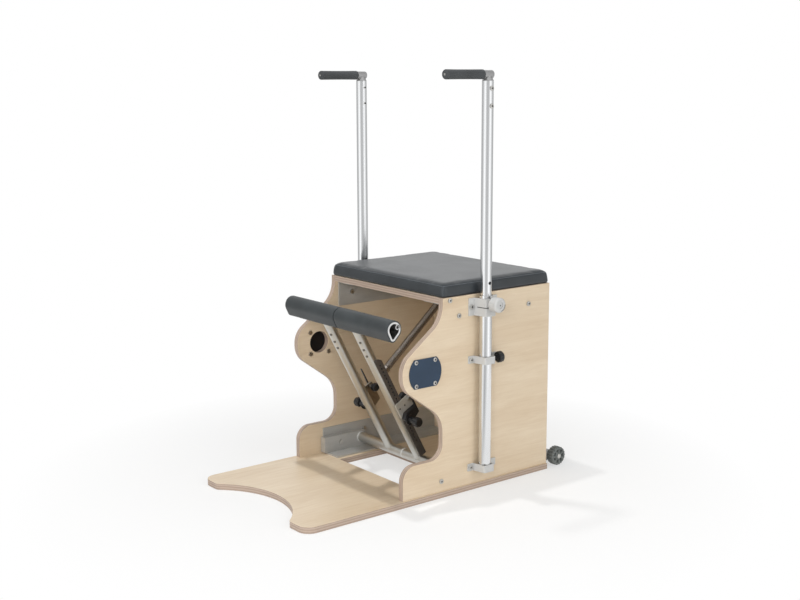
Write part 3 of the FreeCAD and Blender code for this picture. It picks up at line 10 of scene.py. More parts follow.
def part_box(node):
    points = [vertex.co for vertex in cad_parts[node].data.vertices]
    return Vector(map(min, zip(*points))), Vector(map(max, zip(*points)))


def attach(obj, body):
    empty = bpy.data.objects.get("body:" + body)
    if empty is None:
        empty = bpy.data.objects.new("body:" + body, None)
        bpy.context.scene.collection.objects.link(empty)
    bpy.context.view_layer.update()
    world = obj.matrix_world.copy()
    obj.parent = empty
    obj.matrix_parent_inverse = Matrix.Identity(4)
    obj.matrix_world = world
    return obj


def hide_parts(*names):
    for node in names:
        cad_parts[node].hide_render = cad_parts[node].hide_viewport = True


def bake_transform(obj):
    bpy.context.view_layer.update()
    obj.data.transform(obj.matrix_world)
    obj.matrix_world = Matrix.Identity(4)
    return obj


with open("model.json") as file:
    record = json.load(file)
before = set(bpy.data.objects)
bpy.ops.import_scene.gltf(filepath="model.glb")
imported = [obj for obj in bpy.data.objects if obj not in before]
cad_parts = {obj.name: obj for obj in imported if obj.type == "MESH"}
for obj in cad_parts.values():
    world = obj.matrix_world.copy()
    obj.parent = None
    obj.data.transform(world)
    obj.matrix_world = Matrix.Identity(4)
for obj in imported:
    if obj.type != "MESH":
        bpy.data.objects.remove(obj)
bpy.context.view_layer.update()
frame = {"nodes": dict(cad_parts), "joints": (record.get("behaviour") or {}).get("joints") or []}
nodes = frame["nodes"]
joints = {joint["name"]: joint for joint in frame["joints"]}
sides = {"left": -1, "right": 1}
scene = bpy.context.scene
print("frame loaded:", len(nodes), "nodes")


# node helpers: they find the tree in a socket that they are given

def link(source, target):
    source.id_data.links.new(source, target)


def put(tree, kind, inputs=None, **settings):
    node = tree.nodes.new("ShaderNode" + kind)
    for name, value in settings.items():
        setattr(node, name, value)
    for key, value in (inputs or {}).items():
        if isinstance(value, bpy.types.NodeSocket):
            link(value, node.inputs[key])
        else:
            node.inputs[key].default_value = value
    return node


def sums(operation, first, second=0.0):
    tree = next(value.id_data for value in (first, second) if isinstance(value, bpy.types.NodeSocket))
    return put(tree, "Math", {0: first, 1: second}, operation=operation).outputs[0]


def times(first, second):
    return sums("MULTIPLY", first, second)


def vectors(operation, first, second=(0, 0, 0)):
    return put(first.id_data, "VectorMath", {0: first, 1: second}, operation=operation).outputs


def dot(first, second):
    return vectors("DOT_PRODUCT", first, second)["Value"]


def part(vector, axis):
    return put(vector.id_data, "SeparateXYZ", {0: vector}).outputs[axis]


def objectSpace(tree):
    return put(tree, "TexCoord").outputs["Object"]


def surfaceNormal(tree):
    return put(tree, "NewGeometry").outputs["Normal"]


def mixed(factor, first, second):
    return put(factor.id_data, "Mix", {0: factor, 2: first, 3: second}).outputs[0]


def shade(colour, gain=1.0, lift=0.0):
    return tuple(min(1.0, value * gain + lift) for value in colour) + (1,)


def mixColour(factor, first, second):
    first, second = (shade(c) if isinstance(c, tuple) and len(c) == 3 else c for c in (first, second))
    inputs = {0: factor, 6: first, 7: second}
    return put(factor.id_data, "Mix", inputs, data_type="RGBA").outputs[2]


def ramp(value, low, high, toLow=0.0, toHigh=1.0):
    inputs = {0: value, 1: low, 2: high, 3: toLow, 4: toHigh}
    return put(value.id_data, "MapRange", inputs).outputs[0]


# the parts of a noise's range that most ramps spread out
midNoise, wideNoise = (0.35, 0.65), (0.3, 0.7)


def noiseOf(vector, scale, detail=3.0, rough=0.5, distortion=0.0):
    inputs = {"Vector": vector, "Scale": scale, "Detail": detail, "Roughness": rough,
              "Distortion": distortion}
    return put(vector.id_data, "TexNoise", inputs).outputs[0]


def newGroup(name, inputs, outputs):
    tree = bpy.data.node_groups.new(name, "ShaderNodeTree")
    for label, kind in inputs.items():
        tree.interface.new_socket(label, in_out="INPUT", socket_type="NodeSocket" + kind)
    for label, kind in outputs.items():
        tree.interface.new_socket(label, in_out="OUTPUT", socket_type="NodeSocket" + kind)
    return tree, tree.nodes.new("NodeGroupInput").outputs, tree.nodes.new("NodeGroupOutput").inputs


def useGroup(tree, group, **inputs):
    return put(tree, "Group", inputs, node_tree=group).outputs


# shared effects

edgeWear = {"samples": 6, "from": 0.995, "to": 0.85}


def softEdgeGroup():
    tree, ins, outs = newGroup("softEdge", {"Radius": "Float"}, {"Normal": "Vector", "Wear": "Float"})
    bevel = put(tree, "Bevel", {"Radius": ins["Radius"]}, samples=edgeWear["samples"]).outputs[0]
    link(bevel, outs["Normal"])
    facing = dot(bevel, surfaceNormal(tree))
    link(ramp(facing, edgeWear["from"], edgeWear["to"]), outs["Wear"])
    return tree


grain = {
    "cloud": (1.3, 5.0, 5.0), "figure": (2.5, 34.0, 34.0), "streak": (7.0, 420.0, 420.0),
    "pore": (90.0, 1500.0, 1500.0), "poreTint": (0.33, 0.22, 0.13), "cloudShare": 0.55,
    "toneRange": (0.36, 0.70), "streakRange": (0.52, 0.80), "poreRange": (0.62, 0.80), "streakDepth": 0.35,
    "poreDepth": 0.22, "poreHeight": 0.6, "roughFrom": 0.36, "roughTo": 0.48,
}


def birchGrainGroup():
    # the vector's X runs along the grain
    tree, ins, outs = newGroup("birchGrain", {"Vector": "Vector", "Pale": "Color", "Dark": "Color"},
                               {"Color": "Color", "Height": "Float", "Rough": "Float"})

    def drawn(name, *settings):
        return noiseOf(vectors("MULTIPLY", ins["Vector"], grain[name])[0], *settings)

    cloud = drawn("cloud", 2.2, 4.0, 0.55, 0.6)
    figure = drawn("figure", 3.0, 5.0, 0.6, 0.8)
    streak = drawn("streak", 2.0, 3.0, 0.6)
    pores = drawn("pore", 1.0, 2.0)
    share = grain["cloudShare"]
    tone = sums("ADD", times(cloud, share), times(figure, 1 - share))
    body = mixColour(ramp(tone, *grain["toneRange"]), ins["Pale"], ins["Dark"])
    line = ramp(streak, *grain["streakRange"], 0.0, grain["streakDepth"])
    fleck = ramp(pores, *grain["poreRange"], 0.0, grain["poreDepth"])
    lined = mixColour(line, body, ins["Dark"])
    link(mixColour(fleck, lined, grain["poreTint"]), outs["Color"])
    link(sums("ADD", streak, times(pores, grain["poreHeight"])), outs["Height"])
    link(ramp(figure, *wideNoise, grain["roughFrom"], grain["roughTo"]), outs["Rough"])
    return tree


plyEdge = {
    "wanderScale": 35.0, "wander": 0.35, "stripe": (0.30, 0.70), "fibreScale": 900.0, "fibre": (0.35, 0.75),
    "fibreDepth": 0.4,
}


def plyLayersGroup():
    # Across runs through the sheet's thickness, in metres
    tree, ins, outs = newGroup(
        "plyLayers",
        {"Vector": "Vector", "Across": "Float", "Layer": "Float", "Pale": "Color", "Dark": "Color"},
        {"Color": "Color", "Height": "Float"})
    wander = times(noiseOf(ins["Vector"], plyEdge["wanderScale"], 2.0), plyEdge["wander"])
    shifted = sums("ADD", sums("DIVIDE", ins["Across"], ins["Layer"]), wander)
    stripe = ramp(sums("PINGPONG", shifted, 1.0), *plyEdge["stripe"])
    fibre = noiseOf(ins["Vector"], plyEdge["fibreScale"], 2.0)
    layer = mixColour(stripe, ins["Pale"], ins["Dark"])
    fuzz = ramp(fibre, *plyEdge["fibre"], 0.0, plyEdge["fibreDepth"])
    link(mixColour(fuzz, layer, ins["Dark"]), outs["Color"])
    link(sums("ADD", stripe, fibre), outs["Height"])
    return tree


drawnMetal = {"lines": (6.0, 1600.0, 1600.0), "smear": (4.0, 16.0, 16.0)}


def drawnLinesGroup():
    # fine lines along the vector's X, as on drawn or brushed metal
    tree, ins, outs = newGroup("drawnLines", {"Vector": "Vector", "Smear": "Float"},
                               {"Tone": "Float", "Height": "Float"})
    lines = noiseOf(vectors("MULTIPLY", ins["Vector"], drawnMetal["lines"])[0], 1.0, 3.0, 0.65)
    smear = noiseOf(vectors("MULTIPLY", ins["Vector"], drawnMetal["smear"])[0], 2.0, 3.0)
    link(mixed(ins["Smear"], lines, smear), outs["Tone"])
    link(lines, outs["Height"])
    return tree


pebbles = {"fineRatio": 2.3, "fineHeight": 0.5, "patchScale": 14.0}


def fineSkinGroup():
    # pebbled skin of moulded plastic, foam or vinyl
    tree, ins, outs = newGroup("fineSkin", {"Vector": "Vector", "Scale": "Float"},
                               {"Tone": "Float", "Height": "Float"})
    cells = put(tree, "TexVoronoi", {"Vector": ins["Vector"], "Scale": ins["Scale"]},
                feature="SMOOTH_F1").outputs["Distance"]
    fine = noiseOf(ins["Vector"], times(ins["Scale"], pebbles["fineRatio"]), 3.0)
    link(noiseOf(ins["Vector"], pebbles["patchScale"], 4.0), outs["Tone"])
    link(sums("ADD", cells, times(fine, pebbles["fineHeight"])), outs["Height"])
    return tree


dust = {
    "broadScale": 9.0, "broad": (0.45, 0.75), "speckScale": 240.0, "speck": (0.4, 0.8), "leastSpeck": 0.3,
}


def handMarksGroup():
    # faint dust and rub marks
    tree, ins, outs = newGroup("handMarks", {"Vector": "Vector"}, {"Mask": "Float"})
    broad = noiseOf(ins["Vector"], dust["broadScale"], 5.0, 0.65)
    specks = noiseOf(ins["Vector"], dust["speckScale"], 2.0)
    speckled = ramp(specks, *dust["speck"], dust["leastSpeck"], 1.0)
    link(times(ramp(broad, *dust["broad"]), speckled), outs["Mask"])
    return tree


softEdge = softEdgeGroup()
birchGrain = birchGrainGroup()
plyLayers = plyLayersGroup()
drawnLines = drawnLinesGroup()
fineSkin = fineSkinGroup()
handMarks = handMarksGroup()
print("shared effects built")


# materials

def newMaterial(**constants):
    material = bpy.data.materials.new("look")
    material.use_nodes = True
    shader = material.node_tree.nodes["Principled BSDF"].inputs
    for label, value in constants.items():
        shader[label.replace("_", " ")].default_value = value
    return material, material.node_tree, shader


def swapped(tree, order):
    # object coordinates with the axis named first as the grain or line direction
    parts = put(tree, "SeparateXYZ", {0: objectSpace(tree)}).outputs
    return put(tree, "CombineXYZ", {i: parts[axis] for i, axis in enumerate(order)}).outputs[0]


def dress(shader, colour, rough, height, strength, distance, normal):
    bump = {"Height": height, "Strength": strength, "Distance": distance, "Normal": normal}
    link(colour, shader["Base Color"])
    link(rough, shader["Roughness"])
    link(put(height.id_data, "Bump", bump).outputs[0], shader["Normal"])


def rubbed(edge, share, colour, bare):
    return mixColour(times(edge["Wear"], share), colour, bare)


ply = {
    "pale": (0.760, 0.635, 0.470), "dark": (0.650, 0.505, 0.345), "edgePale": (0.520, 0.415, 0.335),
    "edgeDark": (0.390, 0.290, 0.228), "layer": 0.0037, "roundedEdge": 0.0012, "wear": 0.25,
    "edgeTurn": (0.75, 0.55), "edgeRough": 0.2, "bump": 0.12, "bumpDepth": 0.0003, "coat": 0.12,
    "coatRough": 0.3,
}


def plyMaterial(thickAxis, order):
    material, tree, shader = newMaterial(Coat_Weight=ply["coat"], Coat_Roughness=ply["coatRough"])
    where = objectSpace(tree)
    face = useGroup(tree, birchGrain, Vector=swapped(tree, order), Pale=shade(ply["pale"]),
                    Dark=shade(ply["dark"]))
    layers = useGroup(tree, plyLayers, Vector=where, Across=part(where, thickAxis), Layer=ply["layer"],
                      Pale=shade(ply["edgePale"]), Dark=shade(ply["edgeDark"]))
    facing = part(surfaceNormal(tree), thickAxis)
    onEdge = ramp(sums("ABSOLUTE", facing), *ply["edgeTurn"])
    edge = useGroup(tree, softEdge, Radius=ply["roundedEdge"])
    colour = mixColour(onEdge, face["Color"], layers["Color"])
    rough = sums("ADD", face["Rough"], times(onEdge, ply["edgeRough"]))
    height = mixed(onEdge, face["Height"], layers["Height"])
    dress(shader, rubbed(edge, ply["wear"], colour, ply["edgePale"]), rough, height, ply["bump"],
          ply["bumpDepth"], edge["Normal"])
    return material


def shadedInnerSide(tree, limit):
    # one on faces that look towards the chair's middle, where shade is painted
    outward = times(part(objectSpace(tree), 0), part(surfaceNormal(tree), 0))
    return sums("LESS_THAN", outward, -limit)


metal = {"wear": 0.5, "wornGain": 1.25, "lineDepth": 0.0001}


def metalMaterial(colour, rough, order=(2, 0, 1), metallic=1.0, spread=0.10, edge=0.0006, lines=0.06,
                  smear=0.6, soil=0.08, streak=0.055, bare=None, upright=None, inner=None):
    material, tree, shader = newMaterial(Metallic=metallic)
    vector = swapped(tree, order)
    drawn = useGroup(tree, drawnLines, Vector=vector, Smear=smear)
    marks = useGroup(tree, handMarks, Vector=vector)
    soft = useGroup(tree, softEdge, Radius=edge)
    tone = mixColour(ramp(drawn["Tone"], *midNoise), colour, shade(colour, 1 - 2 * spread))
    tone = rubbed(soft, metal["wear"], tone, bare or shade(colour, metal["wornGain"]))
    if inner:
        # painted shade: faces towards the chair's middle take the darker, browner inner colour, standing in
        # for their shade and the wood's brown reflection, and turn fully metallic
        innerShade = shadedInnerSide(tree, inner["limit"])
        tone = mixColour(innerShade, tone, inner["colour"])
        link(ramp(innerShade, 0.0, 1.0, metallic, 1.0), shader["Metallic"])
    streaked = ramp(drawn["Tone"], *wideNoise, rough - streak, rough + streak)
    dress(shader, tone, sums("ADD", streaked, times(marks["Mask"], soil)), drawn["Height"],
          lines, metal["lineDepth"], roundNormal(tree, upright) if upright else soft["Normal"])
    return material


roundMatch = 0.9  # cosine to the true round, above which a face belongs to it


def roundNormal(tree, axis):
    # true radial normal of the two upright poles, where the surface is their round
    parts = put(tree, "SeparateXYZ", {0: objectSpace(tree)}).outputs
    across = sums("SUBTRACT", sums("ABSOLUTE", parts[0]), axis.x)
    across = times(across, sums("SIGN", parts[0]))
    along = sums("SUBTRACT", parts[1], axis.y)
    outward = put(tree, "CombineXYZ", {0: across, 1: along}).outputs[0]
    radial = vectors("NORMALIZE", outward)[0]
    plain = surfaceNormal(tree)
    onRound = sums("GREATER_THAN", dot(radial, plain), roundMatch)
    return put(tree, "Mix", {0: onRound, 4: plain, 5: radial}, data_type="VECTOR").outputs[1]


skinWear = {"gain": 1.5, "lift": 0.01}


def skinMaterial(colour, rough, scale, bump, edge=0.0008, spread=0.12, patch=midNoise, wear=0.35, bare=None,
                 soil=0.10, depth=0.0004, inner=None, **constants):
    material, tree, shader = newMaterial(**constants)
    where = objectSpace(tree)
    skin = useGroup(tree, fineSkin, Vector=where, Scale=scale)
    marks = useGroup(tree, handMarks, Vector=where)
    soft = useGroup(tree, softEdge, Radius=edge)
    tone = mixColour(ramp(skin["Tone"], *patch), colour, shade(colour, 1 - 2 * spread))
    tone = rubbed(soft, wear, tone, bare or shade(colour, skinWear["gain"], skinWear["lift"]))
    if inner:
        # painted shade: faces that look towards the chair's middle take the given inner colour
        tone = mixColour(shadedInnerSide(tree, inner["limit"]), tone, inner["colour"])
    soiled = ramp(marks["Mask"], 0.0, 1.0, rough, rough + soil)
    dress(shader, tone, soiled, skin["Height"], bump, depth, soft["Normal"])
    return material


pin = {
    "knobReach": 0.0845, "scale": 1600.0, "edge": 0.0006, "black": (0.014, 0.014, 0.015),
    "blackPale": (0.022, 0.022, 0.023), "plate": (0.62, 0.61, 0.58), "plateDark": (0.50, 0.49, 0.46),
    "roughFrom": 0.32, "roughTo": 0.40, "bump": 0.1, "bumpDepth": 0.0003,
}


def pinAndKnobMaterial():
    # black moulded knob nearer the middle of the chair than knobReach, plated pin beyond it
    material, tree, shader = newMaterial()
    where = objectSpace(tree)
    plated = sums("GREATER_THAN", sums("ABSOLUTE", part(where, 0)), pin["knobReach"])
    skin = useGroup(tree, fineSkin, Vector=where, Scale=pin["scale"])
    soft = useGroup(tree, softEdge, Radius=pin["edge"])
    dark = mixColour(ramp(skin["Tone"], *midNoise), pin["black"], pin["blackPale"])
    bright = mixColour(ramp(skin["Tone"], *wideNoise), pin["plate"], pin["plateDark"])
    link(plated, shader["Metallic"])
    rough = ramp(skin["Tone"], *wideNoise, pin["roughFrom"], pin["roughTo"])
    dress(shader, mixColour(plated, dark, bright), rough, skin["Height"], pin["bump"],
          pin["bumpDepth"], soft["Normal"])
    return material


poleLow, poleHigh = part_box("right_upper_pole")
acrossLines, depthLines = (0, 1, 2), (1, 0, 2)
looks = {
    "panelPly": plyMaterial(0, (1, 2, 0)),
    "boardPly": plyMaterial(2, depthLines),
    "backPly": plyMaterial(1, (0, 2, 1)),
    "seatVinyl": skinMaterial((0.032, 0.038, 0.043), 0.36, 1100.0, 0.16, edge=0.0015, Coat_Weight=0.10,
                              Coat_Roughness=0.35),
    # the seam is real; its colour, lighter than the vinyl, is a painted highlight along it
    "seamHighlight": skinMaterial((0.105, 0.120, 0.135), 0.42, 2400.0, 0.3),
    "footPad": skinMaterial((0.039, 0.046, 0.049), 0.50, 1500.0, 0.16, edge=0.0012),
    "handGrip": skinMaterial((0.062, 0.066, 0.070), 0.58, 1300.0, 0.30, edge=0.0012),
    "poleAluminium": metalMaterial((0.80, 0.81, 0.82), 0.20, spread=0.02, edge=0.0, lines=0.0, smear=0.15,
                                   soil=0.0, streak=0.02, upright=(poleLow + poleHigh) / 2),
    "crossAluminium": metalMaterial((0.50, 0.50, 0.50), 0.46, depthLines, edge=0.0, smear=0.2),
    "armAluminium": metalMaterial((0.66, 0.65, 0.61), 0.36, spread=0.05, edge=0.0, lines=0.03, smear=0.3),
    "barAluminium": metalMaterial((0.82, 0.82, 0.81), 0.36, acrossLines),
    "paleBracket": skinMaterial((0.57, 0.57, 0.56), 0.42, 2600.0, 0.10, spread=0.03),
    "paleKnob": skinMaterial((0.56, 0.56, 0.55), 0.46, 1800.0, 0.12, spread=0.03),
    "greySteel": metalMaterial((0.56, 0.56, 0.54), 0.44, depthLines, metallic=0.4),
    "zincSteel": metalMaterial((0.62, 0.61, 0.58), 0.30, acrossLines),
    "springSteel": metalMaterial((0.50, 0.46, 0.42), 0.20, acrossLines, spread=0.05),
    "axleSteel": metalMaterial((0.68, 0.68, 0.66), 0.30, acrossLines),
    "darkRail": metalMaterial((0.150, 0.135, 0.122), 0.42, metallic=0.6),
    # the carriage's inner colour is painted shade with the wood's brown cast, on faces towards the chair's
    # middle
    "carriageSteel": metalMaterial((0.56, 0.54, 0.49), 0.39, metallic=0.45, spread=0.045, edge=0.0005,
                                   lines=0.05, smear=0.5, soil=0.0, streak=0.05, bare=(0.74, 0.72, 0.68),
                                   inner={"limit": 0.02, "colour": (0.46, 0.40, 0.32)}),
    "blackPlastic": skinMaterial((0.014, 0.014, 0.015), 0.36, 1600.0, 0.12),
    "whiteNylon": skinMaterial((0.80, 0.80, 0.78), 0.45, 1500.0, 0.06, spread=0.02),
    # navy plates: faces towards the chair's middle are painted near-black shade
    "navyPlate": skinMaterial((0.021, 0.045, 0.084), 0.36, 2200.0, 0.06, edge=0.0006, spread=0.10,
                              patch=wideNoise, wear=0.4, bare=(0.30, 0.34, 0.40), soil=0.12, depth=0.0003,
                              inner={"limit": 0.05, "colour": (0.006, 0.006, 0.007)}, Metallic=0.2),
    "pinAndKnob": pinAndKnobMaterial(),
    "darkScrew": metalMaterial((0.20, 0.19, 0.17), 0.38, edge=0.0, metallic=0.8),
    "wheelRubber": skinMaterial((0.150, 0.162, 0.156), 0.46, 1300.0, 0.15),
    # near-black painted shade, put in holes, sockets, slits and gaps
    "paintedShade": skinMaterial((0.010, 0.010, 0.010), 0.70, 900.0, 0.05),
}
for look, material in looks.items():
    material.name = look

finishes = {
    "panelPly": ["left_side_panel", "right_side_panel"],
    "boardPly": ["base_board", "seat_board"],
    "backPly": ["back_panel"],
    "greySteel": ["base_angles", "seat_angles", "axle_blocks"],
    "axleSteel": ["pedal_axle", "spring_anchor_bar"],
    "zincSteel": ["frame_bolts", "bracket_bolts", "cover_plate_screws", "wheel_bolts"],
    "whiteNylon": ["axle_washers"],
    "navyPlate": ["cover_plates"],
    "paleBracket": ["top_pole_brackets", "mid_pole_brackets", "foot_pole_brackets", "wheel_brackets"],
    "poleAluminium": ["tube_collars"],
}
sideFinishes = {
    "poleAluminium": ["pole_tube", "upper_pole"], "zincSteel": ["pole_screws"], "pinAndKnob": ["spring_pin"],
    "paleKnob": ["index_knob"], "blackPlastic": ["clamp_knob", "pull_knob", "carriage_clip", "plunger_body"],
    "armAluminium": ["pedal_arm"], "darkRail": ["spring_rail"], "carriageSteel": ["carriage"],
    "springSteel": ["spring_cap"],
}
for look, members in sideFinishes.items():
    finishes.setdefault(look, []).extend(f"{side}_{member}" for side in sides for member in members)
for look, members in finishes.items():
    for name in members:
        nodes[name].data.materials.clear()
        nodes[name].data.materials.append(looks[look])
print("materials set on", sum(len(members) for members in finishes.values()), "nodes")


# mesh helpers: a shape is a list of vertices and a list of faces

nearAxis = 0.0001  # where a turned profile closes
wholeSmooth = 180  # no edge stays sharp


def addPiece(name, shape, look, body, smoothAngle=40):
    mesh = bpy.data.meshes.new(name)
    mesh.from_pydata([tuple(v) for v in shape[0]], [], shape[1])
    mesh.validate()
    work = bmesh.new()
    work.from_mesh(mesh)
    bmesh.ops.recalc_face_normals(work, faces=work.faces)
    work.to_mesh(mesh)
    work.free()
    mesh.shade_smooth()
    mesh.set_sharp_from_angle(angle=math.radians(smoothAngle))
    mesh.materials.append(looks[look])
    piece = bpy.data.objects.new(name, mesh)
    scene.collection.objects.link(piece)
    if body:
        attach(piece, body)
    return piece


def circle(count):
    turns = [2 * math.pi * k / count for k in range(count)]
    return [(math.cos(turn), math.sin(turn)) for turn in turns]


def quarter(steps):
    turns = [math.pi / 2 * k / steps for k in range(steps + 1)]
    return [(math.cos(turn), math.sin(turn)) for turn in turns]


def squareTo(axis):
    across = axis.orthogonal().normalized()
    return across, axis.cross(across)


def ringFaces(rings, count, closeEnds=True, loop=False):
    faces = []
    for r in range(rings if loop else rings - 1):
        nextRing = (r + 1) % rings
        for i in range(count):
            j = (i + 1) % count
            faces.append((r * count + i, r * count + j, nextRing * count + j, nextRing * count + i))
    if closeEnds and not loop:
        faces.append(tuple(range(count - 1, -1, -1)))
        faces.append(tuple((rings - 1) * count + i for i in range(count)))
    return faces


def loft(rings, closeEnds=True, loop=False):
    return [v for ring in rings for v in ring], ringFaces(len(rings), len(rings[0]), closeEnds, loop)


def sweep(points, radius, count=8, loop=False):
    rings = []
    across = None
    for i, point in enumerate(points):
        before = points[i - 1] if i or loop else point
        after = points[(i + 1) % len(points)] if i + 1 < len(points) or loop else point
        way = (after - before).normalized()
        if across is None:
            across = way.orthogonal()
        across = (across - way * across.dot(way)).normalized()
        other = way.cross(across)
        rings.append([point + (across * c + other * s) * radius for c, s in circle(count)])
    return loft(rings, loop=loop)


def lathe(profile, origin, axis, steps=48, loop=False):
    # profile pairs are (radius, distance along the axis)
    axis = Vector(axis).normalized()
    across, other = squareTo(axis)
    rings = []
    for radius, along in profile:
        centre = Vector(origin) + axis * along
        rings.append([centre + (across * c + other * s) * radius for c, s in circle(steps)])
    return loft(rings, loop=loop)


def joined(shapes):
    verts, faces = [], []
    for someVerts, someFaces in shapes:
        faces += [tuple(i + len(verts) for i in face) for face in someFaces]
        verts += someVerts
    return verts, faces


def islands(nodeName):
    # boxes of the separate solids inside one node
    mesh = nodes[nodeName].data
    key = [tuple(round(c, 5) for c in v.co) for v in mesh.vertices]
    root = {k: k for k in key}

    def top(k):
        while root[k] != k:
            root[k] = root[root[k]]
            k = root[k]
        return k

    for polygon in mesh.polygons:
        first = top(key[polygon.vertices[0]])
        for index in polygon.vertices[1:]:
            root[top(key[index])] = first
    groups = {}
    for k in root:
        groups.setdefault(top(k), []).append(k)
    return [(Vector(map(min, zip(*points))), Vector(map(max, zip(*points)))) for points in groups.values()]


# seat cushion: vinyl over foam, swollen by a short cloth run, seams added after it

cushion = {
    "cornerRadius": 0.012, "cornerSteps": 8, "shrink": -0.0005, "footInset": 0.001, "footRise": 0.004,
    "edgeRadius": 0.010, "edgeSteps": 4, "voxel": 0.005, "pressure": 4.0, "quality": 5, "frames": 20,
    "cap": 0.005, "proud": 0.001, "heldRise": 0.030,
}
seam = {
    "drop": 0.009, "radius": 0.0011, "pinch": 0.0009, "reach": 0.005, "near": 0.006, "standOff": 0.05,
    "turnRadius": 0.07, "turnSteps": 24, "step": 0.006, "cornerShare": 0.8, "cornerFoot": 0.003,
    "cornerSteps": 7, "cornerStandOff": 0.03,
}


def roundedRectangle(halfX, halfY, radius, steps):
    points = []
    for cornerX, cornerY, start in ((1, 1, 0), (-1, 1, 90), (-1, -1, 180), (1, -1, 270)):
        for k in range(steps + 1):
            turn = math.radians(start + 90 * k / steps)
            points.append((cornerX * (halfX - radius) + radius * math.cos(turn),
                           cornerY * (halfY - radius) + radius * math.sin(turn)))
    return points


def cushionBlank(low, high):
    middle, half = (low + high) / 2, (high - low) / 2
    inset, edge = cushion["shrink"], cushion["edgeRadius"]
    levels = [(low.z, inset + cushion["footInset"]), (low.z + cushion["footRise"], inset)]
    for c, s in quarter(cushion["edgeSteps"]):
        levels.append((high.z - edge - inset + edge * s, inset + edge * (1 - c)))
    corner, steps = cushion["cornerRadius"], cushion["cornerSteps"]
    rings = []
    for z, pull in levels:
        outline = roundedRectangle(half.x - pull, half.y - pull, corner, steps)
        rings.append([Vector((middle.x + x, middle.y + y, z)) for x, y in outline])
    return loft(rings)


def swell(piece, foot):
    # the cloth run moves the top freely and the foot not at all in plan
    start = [v.co.copy() for v in piece.data.vertices]
    cloth = piece.modifiers.new("swell", "CLOTH")
    cloth.settings.use_pressure = True
    cloth.settings.uniform_pressure_force = cushion["pressure"]
    cloth.settings.effector_weights.gravity = 0
    cloth.settings.quality = cushion["quality"]
    for step in range(1, cushion["frames"] + 1):
        scene.frame_set(step)
    shape = piece.evaluated_get(bpy.context.evaluated_depsgraph_get()).to_mesh()
    moved = [v.co.copy() for v in shape.vertices]
    piece.modifiers.remove(cloth)
    scene.frame_set(1)
    for vertex, before, after in zip(piece.data.vertices, start, moved):
        shift = after - before
        if shift.length > cushion["cap"]:
            shift = shift.normalized() * cushion["cap"]
        free = min(1.0, (before.z - foot) / cushion["heldRise"])
        vertex.co = before + Vector((shift.x * free, shift.y * free, shift.z))


def applyModifier(piece, kind, **settings):
    modifier = piece.modifiers.new(kind.lower(), kind)
    for name, value in settings.items():
        setattr(modifier, name, value)
    shaped = bpy.data.meshes.new_from_object(piece.evaluated_get(bpy.context.evaluated_depsgraph_get()))
    piece.modifiers.clear()
    old = piece.data
    piece.data = shaped
    bpy.data.meshes.remove(old)


def pinchSeam(piece, tree, heart):
    for vertex in piece.data.vertices:
        drop = abs(vertex.co.z - heart.z)
        if drop >= seam["reach"]:
            continue
        level = Vector((vertex.co.x, vertex.co.y, heart.z))
        near = tree.find_nearest(level)[0]
        if near and (level - near).length < seam["near"]:
            vertex.co += (heart - level).normalized() * (1 - drop / seam["reach"]) ** 2 * seam["pinch"]


def makeSeams(tree, stitches, low, heart, half):
    addPiece("cushionSeam", sweep(stitches, seam["radius"], loop=True), "seamHighlight", "frame",
             wholeSmooth)
    foot, away = low.z + seam["cornerFoot"], seam["cornerStandOff"]
    for nameX, signX in sides.items():
        for nameY, signY in (("Front", -1), ("Rear", 1)):
            line = []
            for k in range(seam["cornerSteps"] + 1):
                z = foot + (heart.z - foot) * k / seam["cornerSteps"]
                start = Vector((heart.x + signX * (half.x + away), heart.y + signY * (half.y + away), z))
                line.append(tree.ray_cast(start, Vector((-signX, -signY, 0)))[0])
            shape = sweep([hit for hit in line if hit], seam["radius"] * seam["cornerShare"])
            addPiece(f"cushionCornerSeam_{nameX}{nameY}", shape, "seamHighlight", "frame",
                     wholeSmooth)


def makeCushion():
    low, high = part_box("seat_cushion")
    middle, half = (low + high) / 2, (high - low) / 2
    piece = addPiece("seatCushion", cushionBlank(low, high), "seatVinyl", None, wholeSmooth)
    applyModifier(piece, "REMESH", mode="VOXEL", voxel_size=cushion["voxel"], use_smooth_shade=True)
    swell(piece, low.z)
    proud = cushion["proud"]
    for vertex in piece.data.vertices:
        vertex.co.x = min(max(vertex.co.x, low.x - proud), high.x + proud)
        vertex.co.y = min(max(vertex.co.y, low.y - proud), high.y + proud)
        vertex.co.z = max(vertex.co.z, low.z)
    applyModifier(piece, "SUBSURF", levels=1, render_levels=1)
    tree = BVHTree.FromObject(piece, bpy.context.evaluated_depsgraph_get())
    heart = Vector((middle.x, middle.y, max(v.co.z for v in piece.data.vertices) - seam["drop"]))
    route = roundedRectangle(half.x + seam["standOff"], half.y + seam["standOff"], seam["turnRadius"],
                             seam["turnSteps"])
    path = [heart + Vector((x, y, 0)) for x, y in route]
    stitches = []
    for point, after in zip(path, path[1:] + path[:1]):
        steps = max(1, int((after - point).length / seam["step"]))
        starts = [point.lerp(after, k / steps) for k in range(steps)]
        hits = [tree.ray_cast(start, heart - start)[0] for start in starts]
        stitches += [hit for hit in hits if hit]
    pinchSeam(piece, tree, heart)
    piece.data.shade_smooth()
    piece.data.materials.clear()
    piece.data.materials.append(looks["seatVinyl"])
    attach(piece, "frame")
    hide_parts("seat_cushion")
    makeSeams(tree, stitches, low, heart, half)


makeCushion()
print("cushion made")


# foot-bar pads: soft sleeves of pear section over the aluminium bars

